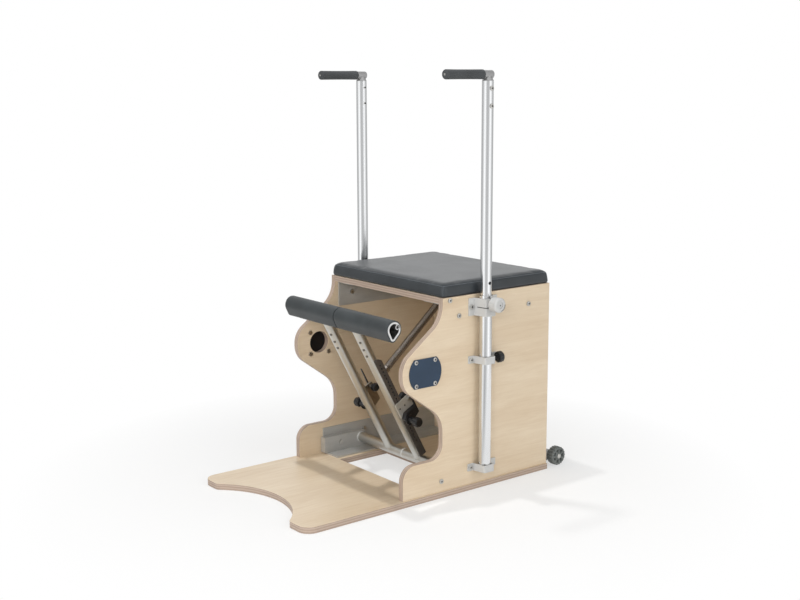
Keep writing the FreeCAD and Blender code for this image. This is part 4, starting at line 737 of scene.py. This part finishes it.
pad = {
    "lean": 28.3, "along": 0.534, "off": 0.009, "radius": 0.027, "tipReach": 0.0235, "tipRadius": 0.0135,
    "tipTurn": 38, "wall": 0.0042, "endRound": 0.0016, "roundSteps": 4, "spans": 40, "backSteps": 56,
    "tipSteps": 12, "swellDepth": 0.0004, "lumpScale": (22, 40, 40), "lumpMiddle": 0.6, "armRadius": 0.0153,
    "cutFrom": 0.4, "smooth": 50,
}


def onPedal(side, x, off, along):
    # a place given across, square to and along the pedal's leaning arm
    hinge = joints[f"{side}_pedal_hinge"]["pos_m"]
    lean = math.radians(pad["lean"])
    return Vector((x, hinge[1] + off * math.cos(lean) - along * math.sin(lean),
                   hinge[2] + off * math.sin(lean) + along * math.cos(lean)))


def pearSection(inset):
    big, small = pad["radius"] - inset, pad["tipRadius"] - inset
    reach, back, tip = pad["tipReach"], pad["backSteps"], pad["tipSteps"]
    flank = math.degrees(math.acos((big - small) / reach))
    points = [(flank + (360 - 2 * flank) * k / back, big, 0.0) for k in range(back + 1)]
    points += [(-flank + 2 * flank * k / tip, small, reach) for k in range(tip + 1)]
    aim = math.radians(pad["tipTurn"])
    section = []
    for turn, radius, centre in points:
        angle = aim + math.radians(turn)
        section.append((pad["off"] - centre * math.sin(aim) - radius * math.sin(angle),
                        pad["along"] - centre * math.cos(aim) - radius * math.cos(angle)))
    return section


def pearRing(side, x, inset):
    return [onPedal(side, x, off, along) for off, along in pearSection(inset)]


def makeFootPad(side):
    low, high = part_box(f"{side}_bar_cover")
    rounding, spans = pad["endRound"], pad["spans"]
    bends = [(rounding * (1 - s), rounding * (1 - c)) for c, s in quarter(pad["roundSteps"])][1:]
    inner, outer = low.x + rounding, high.x - rounding
    stations = [(low.x + along, inset) for along, inset in reversed(bends)]
    stations += [(inner + (outer - inner) * k / spans, 0.0) for k in range(spans + 1)]
    stations += [(high.x - along, inset) for along, inset in bends]
    rings = []
    for x, inset in stations:
        centre = onPedal(side, x, pad["off"], pad["along"])
        ring = []
        for spot in pearRing(side, x, inset):
            lump = noise.noise(Vector([a * b for a, b in zip(spot, pad["lumpScale"])])) - pad["lumpMiddle"]
            ring.append(spot + (spot - centre).normalized() * lump * pad["swellDepth"])
        rings.append(ring)
    rings += [pearRing(side, x, pad["wall"]) for x in (high.x, low.x)]
    piece = addPiece(f"{side}FootPad", loft(rings, loop=True), "footPad", None, pad["smooth"])
    hinge = Vector(joints[f"{side}_pedal_hinge"]["pos_m"])
    armEnds = [(pad["armRadius"], pad["cutFrom"]), (pad["armRadius"], pad["along"])]
    armShape = lathe(armEnds, hinge, onPedal(side, hinge.x, 0, 1) - hinge, steps=40)
    cutter = addPiece("armCutter", armShape, "footPad", None)
    applyModifier(piece, "BOOLEAN", operation="DIFFERENCE", object=cutter, solver="EXACT")
    bpy.data.objects.remove(cutter)
    piece.data.shade_smooth()
    piece.data.set_sharp_from_angle(angle=math.radians(pad["smooth"]))
    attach(piece, f"{side}_pedal")
    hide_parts(f"{side}_bar_cover")


# bars inside the pads: a thick open section with a screw hole, seen at the ends; discs of painted shade sit
# in the hole near each end

barCore = {
    "wall": 0.0054, "gap": 0.0001, "boss": 0.0074, "bossHole": 0.0048, "bossOff": 0.0138,
    "shadeDepth": 0.0012, "shadeLength": 0.002,
}


def makeBarCore(side):
    low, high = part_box(f"{side}_bar_core")
    outer = pad["wall"] + barCore["gap"]
    inner = outer + barCore["wall"]
    corners = ((low.x, outer), (high.x, outer), (high.x, inner), (low.x, inner))
    tube = loft([pearRing(side, x, inset) for x, inset in corners], loop=True)
    spot = onPedal(side, low.x, pad["off"] + barCore["bossOff"], pad["along"])
    length, hole, boss = high.x - low.x, barCore["bossHole"], barCore["boss"]
    ends = [(hole, 0.0), (boss, 0.0), (boss, length), (hole, length)]
    shape = joined([tube, lathe(ends, spot, (1, 0, 0), steps=28, loop=True)])
    piece = addPiece(f"{side}BarCore", shape, "barAluminium", f"{side}_pedal", smoothAngle=35)
    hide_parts(f"{side}_bar_core")
    # painted shade: dark discs inside the screw hole near each end
    shadeDiscs = []
    for start in (barCore["shadeDepth"], length - barCore["shadeDepth"] - barCore["shadeLength"]):
        end = start + barCore["shadeLength"]
        plug = [(nearAxis, start), (hole, start), (hole, end), (nearAxis, end)]
        shadeDiscs.append(lathe(plug, spot, (1, 0, 0), steps=20))
    addPiece(f"{side}BarHoleShade", joined(shadeDiscs), "paintedShade", f"{side}_pedal")


for side in sides:
    makeFootPad(side)
    makeBarCore(side)
print("foot pads and bars made")


# hand grips: foam sleeves with a rounded free end and a small end plug

handGrip = {
    "bore": 0.0091, "endRound": 0.005, "rearRound": 0.003, "plugRadius": 0.0034, "plugProud": 0.0004,
    "plugSink": 0.0015, "endSink": 0.001, "waist": 0.0004, "waistSteps": 12,
}


def makeHandGrip(side):
    low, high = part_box(f"{side}_grip")
    middle = (low + high) / 2
    start, forward = (middle.x, high.y, middle.z), (0, -1, 0)
    radius, length = (high.x - low.x) / 2, high.y - low.y
    front, rear = handGrip["endRound"], handGrip["rearRound"]
    profile = [(handGrip["bore"], 0.0)]
    profile += [(radius - rear * (1 - s), rear * (1 - c)) for c, s in quarter(5)]
    for k in range(1, handGrip["waistSteps"]):
        share = k / handGrip["waistSteps"]
        profile.append((radius - handGrip["waist"] * math.sin(math.pi * share),
                        rear + (length - rear - front) * share))
    profile += [(radius - front * (1 - c), length - front * (1 - s)) for c, s in quarter(6)]
    plug, proud = handGrip["plugRadius"], handGrip["plugProud"]
    profile += [(plug, length), (nearAxis, length - handGrip["endSink"])]
    sleeve = lathe(profile, start, forward, steps=56)
    grip = addPiece(f"{side}HandGrip", sleeve, "handGrip", f"{side}_handle", smoothAngle=50)
    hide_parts(f"{side}_grip")
    button = [(plug, length - handGrip["plugSink"]), (plug, length + proud * 0.2),
              (plug * 0.6, length + proud), (nearAxis, length + proud)]
    addPiece(f"{side}GripPlug", lathe(button, start, forward, steps=24), "zincSteel", f"{side}_handle")


# elbows: a short barrel in line with the grip, on a plug in the pole

elbow = {
    "barrel": 0.0120, "front": 0.0186, "rear": 0.0155, "round": 0.0018, "chamfer": 0.0008, "plug": 0.0166,
    "spigot": 0.0136, "plugRise": 0.0045, "plugTaper": 0.001, "shoulder": 0.0148, "neck": 0.0112,
    "neckSteps": 6, "neckStop": 0.004, "topStop": 0.002, "sink": 0.002,
}


def makeElbow(side):
    low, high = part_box(f"{side}_upper_pole")
    gripLow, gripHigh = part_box(f"{side}_grip")
    x, y, top = (low.x + high.x) / 2, (low.y + high.y) / 2, high.z
    height = (gripLow.z + gripHigh.z) / 2
    radius, rounding, chamfer = elbow["barrel"], elbow["round"], elbow["chamfer"]
    length = elbow["front"] + elbow["rear"]
    profile = [(nearAxis, 0.0), (radius - chamfer, 0.0), (radius, chamfer)]
    profile += [(radius - rounding * (1 - c), length - rounding * (1 - s)) for c, s in quarter(5)]
    profile += [(radius * 0.6, length), (radius * 0.55, length - chamfer), (nearAxis, length - chamfer)]
    barrel = lathe(profile, (x, y - elbow["front"], height), (0, 1, 0), steps=56)
    plug, rise, reach = elbow["plug"], elbow["plugRise"], height - top
    post = [(nearAxis, -elbow["sink"]), (elbow["spigot"], -elbow["sink"]), (elbow["spigot"], nearAxis),
            (plug, nearAxis), (plug, rise * 0.4), (plug - elbow["plugTaper"], rise * 0.7)]
    for k in range(elbow["neckSteps"] + 1):
        share = k / elbow["neckSteps"]
        swing = math.cos(math.pi * share) * 0.5 + 0.5
        post.append((elbow["neck"] + (elbow["shoulder"] - elbow["neck"]) * swing,
                     rise + (reach - rise - elbow["neckStop"]) * share))
    post.append((nearAxis, reach - elbow["topStop"]))
    shape = joined([barrel, lathe(post, (x, y, top), (0, 0, 1), steps=56)])
    piece = addPiece(f"{side}CastElbow", shape, "crossAluminium", f"{side}_handle")
    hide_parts(f"{side}_elbow")


for side in sides:
    makeHandGrip(side)
    makeElbow(side)
print("hand grips and elbows made")


# springs: close-wound wire with a hook at each end, stretched between its two bodies

coil = {
    "diameter": 0.025, "wire": 0.0034, "lowReach": 0.052, "highReach": 0.044, "curls": 98,
    "stepsPerCurl": 22, "pinRadius": 0.0053, "barRadius": 0.0083, "wireSides": 7, "hookFrom": -20,
    "hookSweep": 200, "hookSteps": 12, "legShare": 0.45,
}


def makeSpring(side):
    anchor = Vector(joints[f"{side}_spring_swing"]["pos_m"])
    pin = Vector(joints[f"{side}_pin_turn"]["pos_m"])
    pin.x = anchor.x
    length = (anchor - pin).length
    along = (anchor - pin).normalized()
    sideways = Vector((1, 0, 0))
    other = along.cross(sideways)

    def spot(x, y, z):
        return pin + sideways * x + other * y + along * z

    def hook(centre, bend, up):
        points = []
        for k in range(coil["hookSteps"] + 1):
            turn = math.radians(coil["hookFrom"] + coil["hookSweep"] * k / coil["hookSteps"])
            points.append(spot(0, up * -bend * math.cos(turn), centre + up * bend * math.sin(turn)))
        return points

    radius = (coil["diameter"] - coil["wire"]) / 2
    low, high = coil["lowReach"], length - coil["highReach"]
    lowBend = coil["pinRadius"] + coil["wire"] / 2
    highBend = coil["barRadius"] + coil["wire"] / 2
    path = hook(0.0, lowBend, -1)[::-1]
    path.append(spot(0, lowBend, low * coil["legShare"]))
    total = coil["curls"] * coil["stepsPerCurl"]
    for k in range(total + 1):
        turn = math.pi / 2 + 2 * math.pi * k / coil["stepsPerCurl"]
        path.append(spot(radius * math.cos(turn), radius * math.sin(turn), low + (high - low) * k / total))
    path.append(spot(0, -highBend, length - coil["highReach"] * coil["legShare"]))
    path += hook(length, highBend, 1)
    wire = sweep(path, coil["wire"] / 2, coil["wireSides"])
    piece = addPiece(f"{side}SpringWire", wire, "springSteel", None, wholeSmooth)
    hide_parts(f"{side}_spring")
    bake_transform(piece)


for side in sides:
    makeSpring(side)
print("springs wound")


# sockets on the bolt heads

socket = {
    "flats": 0.0052, "depth": 0.0008, "rim": 0.62, "outer": 0.96, "crown": 0.80, "steps": 36,
    "floorLift": 0.0001, "floorShare": 1.02, "least": 0.0005,
}


def socketRing(name, centre, out, radius):
    # raised ring with a six-sided hole, over a floor of painted shade
    across, other = squareTo(out)
    hexRadius = min(socket["flats"] / math.sqrt(3), radius * socket["rim"])
    lift = out * socket["depth"]
    rings = [[], [], [], []]
    for k, (c, s) in enumerate(circle(socket["steps"])):
        turn = 2 * math.pi * k / socket["steps"]
        way = across * c + other * s
        inner = hexRadius * math.cos(math.pi / 6) / math.cos((turn % (math.pi / 3)) - math.pi / 6)
        rings[0].append(centre + way * radius * socket["outer"])
        rings[1].append(centre + way * radius * socket["crown"] + lift)
        rings[2].append(centre + way * inner + lift)
        rings[3].append(centre + way * inner)
    addPiece(name, loft(rings, closeEnds=False), "zincSteel", "frame", smoothAngle=35)
    floor = [centre + out * socket["floorLift"] + (across * c + other * s) * hexRadius * socket["floorShare"]
             for c, s in circle(6)]
    addPiece(name + "Floor", (floor, [tuple(range(6))]), "paintedShade", "frame")


def outerEnd(low, high):
    # middle of the box's face that looks away from the chair, and the way it looks
    sign = 1 if low.x + high.x > 0 else -1
    middle = (low + high) / 2
    return Vector((high.x if sign > 0 else low.x, middle.y, middle.z)), Vector((sign, 0, 0))


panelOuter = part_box("right_side_panel")[1].x
count = 0
for nodeName in ("frame_bolts", "bracket_bolts"):
    for low, high in islands(nodeName):
        if max(abs(low.x), abs(high.x)) > panelOuter + socket["least"]:
            count += 1
            socketRing(f"boltSocket{count:02d}", *outerEnd(low, high), (high.z - low.z) / 2)
print("bolt sockets:", count)


# painted shade in the screw sockets of the cover plates and of the poles: dark hexagons

hexPit = {"sink": -0.0004, "lift": 0.00012, "plateShare": 0.22, "poleRadius": 0.0028}


def hexShade(centre, out, radius):
    across, other = squareTo(out)
    return loft([[centre + out * lift + (across * c + other * s) * radius for c, s in circle(6)]
                 for lift in (hexPit["sink"], hexPit["lift"])])


plateSockets = []
for low, high in islands("cover_plate_screws"):
    plateSockets.append(hexShade(*outerEnd(low, high), (high.z - low.z) * hexPit["plateShare"]))
addPiece("plateScrewSockets", joined(plateSockets), "paintedShade", "frame")
for side in sides:
    poleSockets = []
    for low, high in islands(f"{side}_pole_screws"):
        middle = (low + high) / 2
        for edge, outward in ((low.x, -1), (high.x, 1)):
            face = Vector((edge, middle.y, middle.z))
            poleSockets.append(hexShade(face, Vector((outward, 0, 0)), hexPit["poleRadius"]))
    addPiece(f"{side}PoleScrewSockets", joined(poleSockets), "paintedShade", f"{side}_handle")
print("plate screw sockets:", len(plateSockets))


# index knobs: face cap, a centre dot of painted shade, ring and an arc of painted shadow in the gap; a
# clamping slit in the bracket behind, filled with painted shade

knob = {
    "cap": 0.0086, "capDrop": 0.0012, "capDepth": 0.004, "capEdge": 0.0008, "dot": 0.0022,
    "dotEdge": 0.0006, "dotSink": 0.001, "dotRim": 0.0004, "dotTop": 0.0003, "ring": 0.0135,
    "ringWire": 0.0007, "ringSteps": 72,
    "arc": 0.0171, "arcWire": 0.0010, "arcFrom": 4, "arcTo": -84, "arcSteps": 24, "lift": -0.0005,
}
slit = {
    "height": 0.5632, "tall": 0.0022, "from": -111, "to": 24, "steps": 60, "reach": 0.09, "proud": 0.0002,
    "sunk": 0.0008,
}


def makeIndexFace(side):
    body = f"{side}_index_knob"
    low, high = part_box(body)
    face, out = outerEnd(low, high)
    top, edge = -knob["capDrop"], knob["capEdge"]
    cap, dotRadius, rim = knob["cap"], knob["dot"], knob["dotEdge"]
    capShape = [(cap, -knob["capDepth"]), (cap, top - edge), (cap - edge, top), (dotRadius + rim, top),
                (dotRadius, top - rim), (nearAxis, top - rim)]
    addPiece(f"{side}IndexCap", lathe(capShape, face, out), "paleKnob", body)
    dotShape = [(dotRadius, top - knob["dotSink"]), (dotRadius, top - knob["dotRim"]),
                (nearAxis, top - knob["dotTop"])]
    addPiece(f"{side}IndexDot", lathe(dotShape, face, out, steps=24), "paintedShade", body)

    def around(degrees, radius):
        turn = math.radians(degrees)
        return face + out * knob["lift"] + Vector((0, math.cos(turn), math.sin(turn))) * radius

    steps = knob["ringSteps"]
    ringPath = [around(360 * k / steps, knob["ring"]) for k in range(steps)]
    addPiece(f"{side}IndexRing", sweep(ringPath, knob["ringWire"], loop=True), "paleKnob", body,
             wholeSmooth)
    # the arc is painted shadow of the gap at the face's rim
    start, span, steps = knob["arcFrom"], knob["arcTo"] - knob["arcFrom"], knob["arcSteps"]
    arcPath = [around(start + span * k / steps, knob["arc"]) for k in range(steps + 1)]
    addPiece(f"{side}IndexArcShadow", sweep(arcPath, knob["arcWire"]), "paintedShade", body,
             wholeSmooth)


def makeSlit(side, sign):
    mesh = nodes["top_pole_brackets"].data
    tree = BVHTree.FromPolygons([v.co for v in mesh.vertices], [p.vertices for p in mesh.polygons])
    low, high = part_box(f"{side}_pole_tube")
    axis = Vector(((low.x + high.x) / 2, (low.y + high.y) / 2, slit["height"]))
    half = Vector((0, 0, slit["tall"] / 2))
    rings = []
    for k in range(slit["steps"] + 1):
        turn = math.radians(slit["from"] + (slit["to"] - slit["from"]) * k / slit["steps"])
        way = Vector((sign * math.cos(turn), math.sin(turn), 0))
        hit, normal, _, _ = tree.ray_cast(axis + way * slit["reach"], -way)
        if hit:
            skin, under = hit + normal * slit["proud"], hit - normal * slit["sunk"]
            rings.append([skin - half, skin + half, under + half, under - half])
    # the slit is painted shade
    addPiece(f"{side}BracketSlitShade", loft(rings), "paintedShade", "frame", smoothAngle=30)


for side, sign in sides.items():
    makeIndexFace(side)
    makeSlit(side, sign)
print("index knobs and bracket slits made")


# painted shade in the holes: discs on the poles, and behind the rails into the arms

hole = {
    "radius": 0.0048, "top": 0.635, "pitch": 0.060, "count": 5, "lift": 0.00006, "sunk": 0.0006, "steps": 24,
}
pit = {
    "radius": 0.0034, "off": 0.008, "from": 0.0747, "pitch": 0.0128, "count": 24, "pinned": 7,
    "reach": 0.09005, "depth": 0.0003,
}


def skinDisc(axis, radius, turn):
    # a disc of painted shade laid on a vertical round of the given radius, with a thin edge going in
    size, lift, sunk = hole["radius"], hole["lift"], -hole["sunk"]
    rings = []
    for share, depth in ((0.02, lift), (0.5, lift), (1.0, lift), (1.0, sunk), (0.02, sunk)):
        ring = []
        for c, s in circle(hole["steps"]):
            angle = turn + size * share * c / radius
            reach = radius + depth
            ring.append(axis + Vector((reach * math.cos(angle), reach * math.sin(angle), size * share * s)))
        rings.append(ring)
    return loft(rings)


def makeDarkHoles(side, sign):
    low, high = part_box(f"{side}_upper_pole")
    inward = math.pi if sign > 0 else 0.0
    # discs of painted shade over the pole's holes
    dots = []
    for k in range(hole["count"]):
        axis = Vector(((low.x + high.x) / 2, (low.y + high.y) / 2, hole["top"] - k * hole["pitch"]))
        dots.append(skinDisc(axis, (high.x - low.x) / 2, inward))
    addPiece(f"{side}PoleHoleShade", joined(dots), "paintedShade", f"{side}_handle")
    # discs of painted shade behind the rail's holes, on the arm
    radius, depth = pit["radius"], -pit["depth"]
    disc = [(nearAxis, 0.0), (radius, 0.0), (radius, depth), (nearAxis, depth)]
    pits = []
    for k in range(pit["count"]):
        if k != pit["pinned"]:
            along = pit["from"] + k * pit["pitch"]
            spot = onPedal(side, sign * pit["reach"], pit["off"], along)
            pits.append(lathe(disc, spot, (sign, 0, 0), steps=16))
    addPiece(f"{side}RailHoleShade", joined(pits), "paintedShade", f"{side}_pedal")


for side, sign in sides.items():
    makeDarkHoles(side, sign)
print("dark holes made")


# pedal arms: screws below the foot bar and on the carriage, weld beads at the foot and along the rail

arm = {
    "spread": 0.075, "radius": 0.015, "sleeve": 0.0165, "screwAt": (0.416, 0.440, 0.467), "screwTurn": 30,
    "screwRadius": 0.0042, "carriageAt": ((0.0015, 0.206), (0.0220, 0.206)), "carriageFace": 0.0229,
    "carriageScrew": 0.0034, "bead": 0.0019, "beadSteps": 72, "beadOut": 1.03, "beadLift": 0.0006,
    "beadRuns": ((0.026, 0.050), (0.268, 0.294), (0.350, 0.374)), "beadX": 0.0147, "beadOff": -0.0046,
    "stitchBead": 0.0013, "stitchSteps": 16, "ripple": 0.0003, "rippleScale": 420.0, "rippleAcross": 390.0,
}
screwProfile = ((1, -0.001), (1, 0.0003), (0.86, 0.0011), (0.55, 0.0016), (0.48, 0.0016), (0.44, 0.0004))


def buttonScrew(spot, out, radius):
    shape = [(radius * share, height) for share, height in screwProfile]
    return lathe(shape + [(nearAxis, screwProfile[-1][1])], spot, out, steps=24)


def rippled(v):
    lump = noise.noise(v * arm["rippleScale"])
    across = noise.noise(v * arm["rippleAcross"] + Vector((5, 0, 0)))
    return v + Vector((lump, across, lump)) * arm["ripple"]


def makeArmDetail(side, sign):
    body = f"{side}_pedal"
    x, radius = sign * arm["spread"], arm["radius"]
    turn = math.radians(arm["screwTurn"])
    screws = []
    for along in arm["screwAt"]:
        skin = onPedal(side, x + radius * math.sin(turn), -radius * math.cos(turn), along)
        screws.append(buttonScrew(skin, skin - onPedal(side, x, 0, along), arm["screwRadius"]))
    for off, along in arm["carriageAt"]:
        spot = onPedal(side, x + sign * arm["carriageFace"], off, along)
        screws.append(buttonScrew(spot, (sign, 0, 0), arm["carriageScrew"]))
    addPiece(f"{side}ArmScrews", joined(screws), "darkScrew", body, smoothAngle=35)
    path = []
    for c, s in circle(arm["beadSteps"]):
        along = math.sqrt(arm["sleeve"] ** 2 - (radius * s) ** 2) + arm["beadLift"]
        path.append(onPedal(side, x + radius * c * arm["beadOut"], radius * s * arm["beadOut"], along))
    beads = [sweep(path, arm["bead"], 10, loop=True)]
    steps = arm["stitchSteps"]
    for start, end in arm["beadRuns"]:
        run = [onPedal(side, x + sign * arm["beadX"], arm["beadOff"], start + (end - start) * k / steps)
               for k in range(steps + 1)]
        beads.append(sweep(run, arm["stitchBead"]))
    verts, faces = joined(beads)
    shape = [rippled(v) for v in verts], faces
    addPiece(f"{side}WeldBeads", shape, "armAluminium", body, wholeSmooth)


for side, sign in sides.items():
    makeArmDetail(side, sign)
print("arm screws and welds made")


# transport wheels: ribbed tread, spoked face

wheel = {
    "width": 0.026, "radius": 0.0299, "bore": 0.0046, "hub": 0.0122, "rim": 0.0222, "back": -0.0026,
    "ribs": 18, "ribDepth": 0.0026, "spokes": 7, "dish": 0.0075, "spokeMiddle": 0.75, "spokeEdge": 1.6,
    "steps": 216,
}


def makeWheel(side, sign):
    low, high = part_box(f"{side}_wheel")
    face = outerEnd(low, high)[0]
    centre = face - Vector((sign * wheel["width"], 0, 0))
    full, rim, hub, edge = wheel["width"], wheel["rim"], wheel["hub"], wheel["radius"]
    bore, back, dish = wheel["bore"], wheel["back"], wheel["dish"]
    # radius, distance from the inner plane, share of the rib depth, share of the dish
    rows = [
        (bore, full, 0, 0), (hub - 0.0008, full, 0, 0), (hub, full - 0.0008, 0, 0),
        (hub + 0.0010, full - 0.0006, 0, 0.9), (hub + 0.0022, full - 0.0008, 0, 1),
        (rim - 0.0018, full - 0.0008, 0, 1), (rim - 0.0004, full - 0.0006, 0, 0.4), (rim, full, 0, 0),
        (edge - 0.0034, full, 0, 0), (edge - 0.0010, full - 0.0012, 0.7, 0), (edge, full - 0.0030, 1, 0),
        (edge, full * 0.5, 1, 0), (edge, 0.0030, 1, 0), (edge - 0.0010, 0.0012, 0.7, 0),
        (edge - 0.0034, 0, 0, 0), (rim, 0, 0, 0), (rim - 0.001, dish, 0, 0), (hub + 0.001, dish, 0, 0),
        (hub, back, 0, 0), (bore, back, 0, 0),
    ]
    rings = []
    for radius, along, ribShare, dishShare in rows:
        ring = []
        for k, (c, s) in enumerate(circle(wheel["steps"])):
            turn = 2 * math.pi * k / wheel["steps"]
            rib = (0.5 - 0.5 * math.cos(wheel["ribs"] * turn)) ** 2
            gap = wheel["spokeMiddle"] + wheel["spokeEdge"] * math.cos(wheel["spokes"] * turn)
            reach = radius - wheel["ribDepth"] * ribShare * rib
            depth = along - dish * dishShare * min(1.0, max(0.0, gap))
            ring.append(centre + Vector((sign * depth, reach * c, reach * s)))
        rings.append(ring)
    piece = addPiece(f"{side}WheelTread", loft(rings, loop=True), "wheelRubber", f"{side}_wheel",
                     smoothAngle=45)
    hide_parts(f"{side}_wheel")


for side, sign in sides.items():
    makeWheel(side, sign)
print("wheels made")


# floor, light and camera

studio = {
    "floorHalf": 1.75, "floorDrop": 0.0005, "plainRadius": 0.50, "whiteRadius": 1.15, "nearWhite": 0.5,
    "floorLoss": 0.5, "floor": (0.92, 0.92, 0.91), "paperTone": 0.985, "paperScale": 60.0, "paperRough": 0.9,
    "floorEdge": (0.90, 0.99), "sky": 0.33, "dimWay": (0.79, -0.61, 0.0), "dimEdge": (0.70, 0.95),
    "dimTo": 0.46, "sideTo": 0.40, "sideAt": 0.2, "horizon": (-0.02, 0.16), "lowSky": 1.34, "lowFull": 0.6,
    "highSky": 1.20, "highFull": 0.8,
}


def makeFloor():
    half = studio["floorHalf"]
    corners = [(-half, -half, 0), (half, -half, 0), (half, half, 0), (-half, half, 0)]
    mesh = bpy.data.meshes.new("studioFloor")
    mesh.from_pydata(corners, [], [(0, 1, 2, 3)])
    floor = bpy.data.objects.new("studioFloor", mesh)
    scene.collection.objects.link(floor)
    floor.location.z = -studio["floorDrop"]
    material, tree, shader = newMaterial(Roughness=studio["paperRough"])
    material.name = "studioPaper"
    where = objectSpace(tree)
    paper = noiseOf(where, studio["paperScale"])
    tone = mixColour(paper, studio["floor"], shade(studio["floor"], studio["paperTone"]))
    link(tone, shader["Base Color"])
    rays = put(tree, "LightPath").outputs
    # metal sees the same darker end in the floor as in the room
    front = dot(vectors("NORMALIZE", where)[0], studio["dimWay"])
    darker = ramp(front, *studio["floorEdge"], 0.0, studio["floorLoss"])
    loss = times(rays["Is Glossy Ray"], darker)
    glow = {"Color": (1, 1, 1, 1), "Strength": sums("SUBTRACT", 1.0, loss)}
    white = put(tree, "Emission", glow).outputs[0]
    seen = sums("MAXIMUM", rays["Is Camera Ray"], rays["Is Glossy Ray"])
    reach = vectors("LENGTH", where)["Value"]
    far = ramp(reach, studio["plainRadius"], studio["whiteRadius"], studio["nearWhite"], 1.0)
    plain = tree.nodes["Principled BSDF"].outputs[0]
    blend = put(tree, "MixShader", {0: times(far, seen), 1: plain, 2: white}).outputs[0]
    link(blend, tree.nodes["Material Output"].inputs["Surface"])
    mesh.materials.append(material)


def makeRoom():
    world = bpy.data.worlds.new("studioWorld")
    world.use_nodes = True
    scene.world = world
    tree = world.node_tree
    background = tree.nodes["Background"].inputs
    rays = put(tree, "LightPath").outputs
    seen = sums("MAXIMUM", rays["Is Camera Ray"], rays["Is Transmission Ray"])
    way = put(tree, "TexCoord").outputs["Generated"]
    # a darker end and darker sides of the room give round metal its grey bands
    dim = dot(way, studio["dimWay"])
    beside = sums("ABSOLUTE", sums("ADD", dim, studio["sideAt"]))
    low, high, dimmed = studio["lowSky"], studio["highSky"], studio["sideTo"]
    lowRoom = ramp(dim, -studio["sideAt"], studio["lowFull"], low * dimmed, low)
    highRoom = ramp(beside, 0.0, studio["highFull"], high * dimmed, high)
    level = mixed(ramp(part(way, 2), *studio["horizon"]), lowRoom, highRoom)
    room = times(level, ramp(dim, *studio["dimEdge"], 1.0, studio["dimTo"]))
    glossy = times(rays["Is Glossy Ray"], room)
    ambient = times(sums("SUBTRACT", 1.0, rays["Is Glossy Ray"]), studio["sky"])
    strength = sums("MAXIMUM", seen, sums("MAXIMUM", glossy, ambient))
    link(strength, background["Strength"])
    background["Color"].default_value = (1, 1, 1, 1)


# each lamp is aimed at a height on the chair's middle
lamps = {
    "keyLamp": {"spot": (-0.45, -0.20, 3.6), "aim": 0.4, "size": (0.14, 0.14), "watts": 42.0},
    "sideLamp": {"spot": (3.4, 0.6, 1.9), "aim": 0.5, "size": (1.6, 2.2), "watts": 34.0},
    "frontLamp": {"spot": (0.6, -3.6, 1.7), "aim": 0.5, "size": (2.0, 2.0), "watts": 40.0},
    "cameraLamp": {"spot": (2.5, -2.3, 1.5), "aim": 0.4, "size": (1.2, 1.2), "watts": 39.0},
}


def addLamp(name, values):
    lamp = bpy.data.lights.new(name, "AREA")
    lamp.shape, lamp.energy = "RECTANGLE", values["watts"]
    lamp.size, lamp.size_y = values["size"]
    holder = bpy.data.objects.new(name, lamp)
    scene.collection.objects.link(holder)
    holder.visible_glossy = False  # metal shows the room's bands, not the lamps
    holder.location = values["spot"]
    aim = Vector((0, 0, values["aim"])) - Vector(values["spot"])
    holder.rotation_euler = aim.to_track_quat("-Z", "Y").to_euler()


view = {
    "spot": (2.8970, -2.2277, 1.2247), "azimuth": 51.83, "down": 10.385, "roll": -0.215, "lens": 54.353,
    "sensor": 36.0,
}


def makeCamera():
    camera = bpy.data.objects.new("photoCamera", bpy.data.cameras.new("photoCamera"))
    camera.data.lens, camera.data.sensor_width = view["lens"], view["sensor"]
    scene.collection.objects.link(camera)
    turn = Matrix()
    for degrees, axis in ((view["azimuth"], "Z"), (90 - view["down"], "X"), (view["roll"], "Z")):
        turn = turn @ Matrix.Rotation(math.radians(degrees), 4, axis)
    camera.matrix_world = Matrix.Translation(view["spot"]) @ turn
    scene.camera = camera


makeFloor()
makeRoom()
for name, values in lamps.items():
    addLamp(name, values)
makeCamera()
scene.view_settings.view_transform = "Standard"
print("studio and camera set")
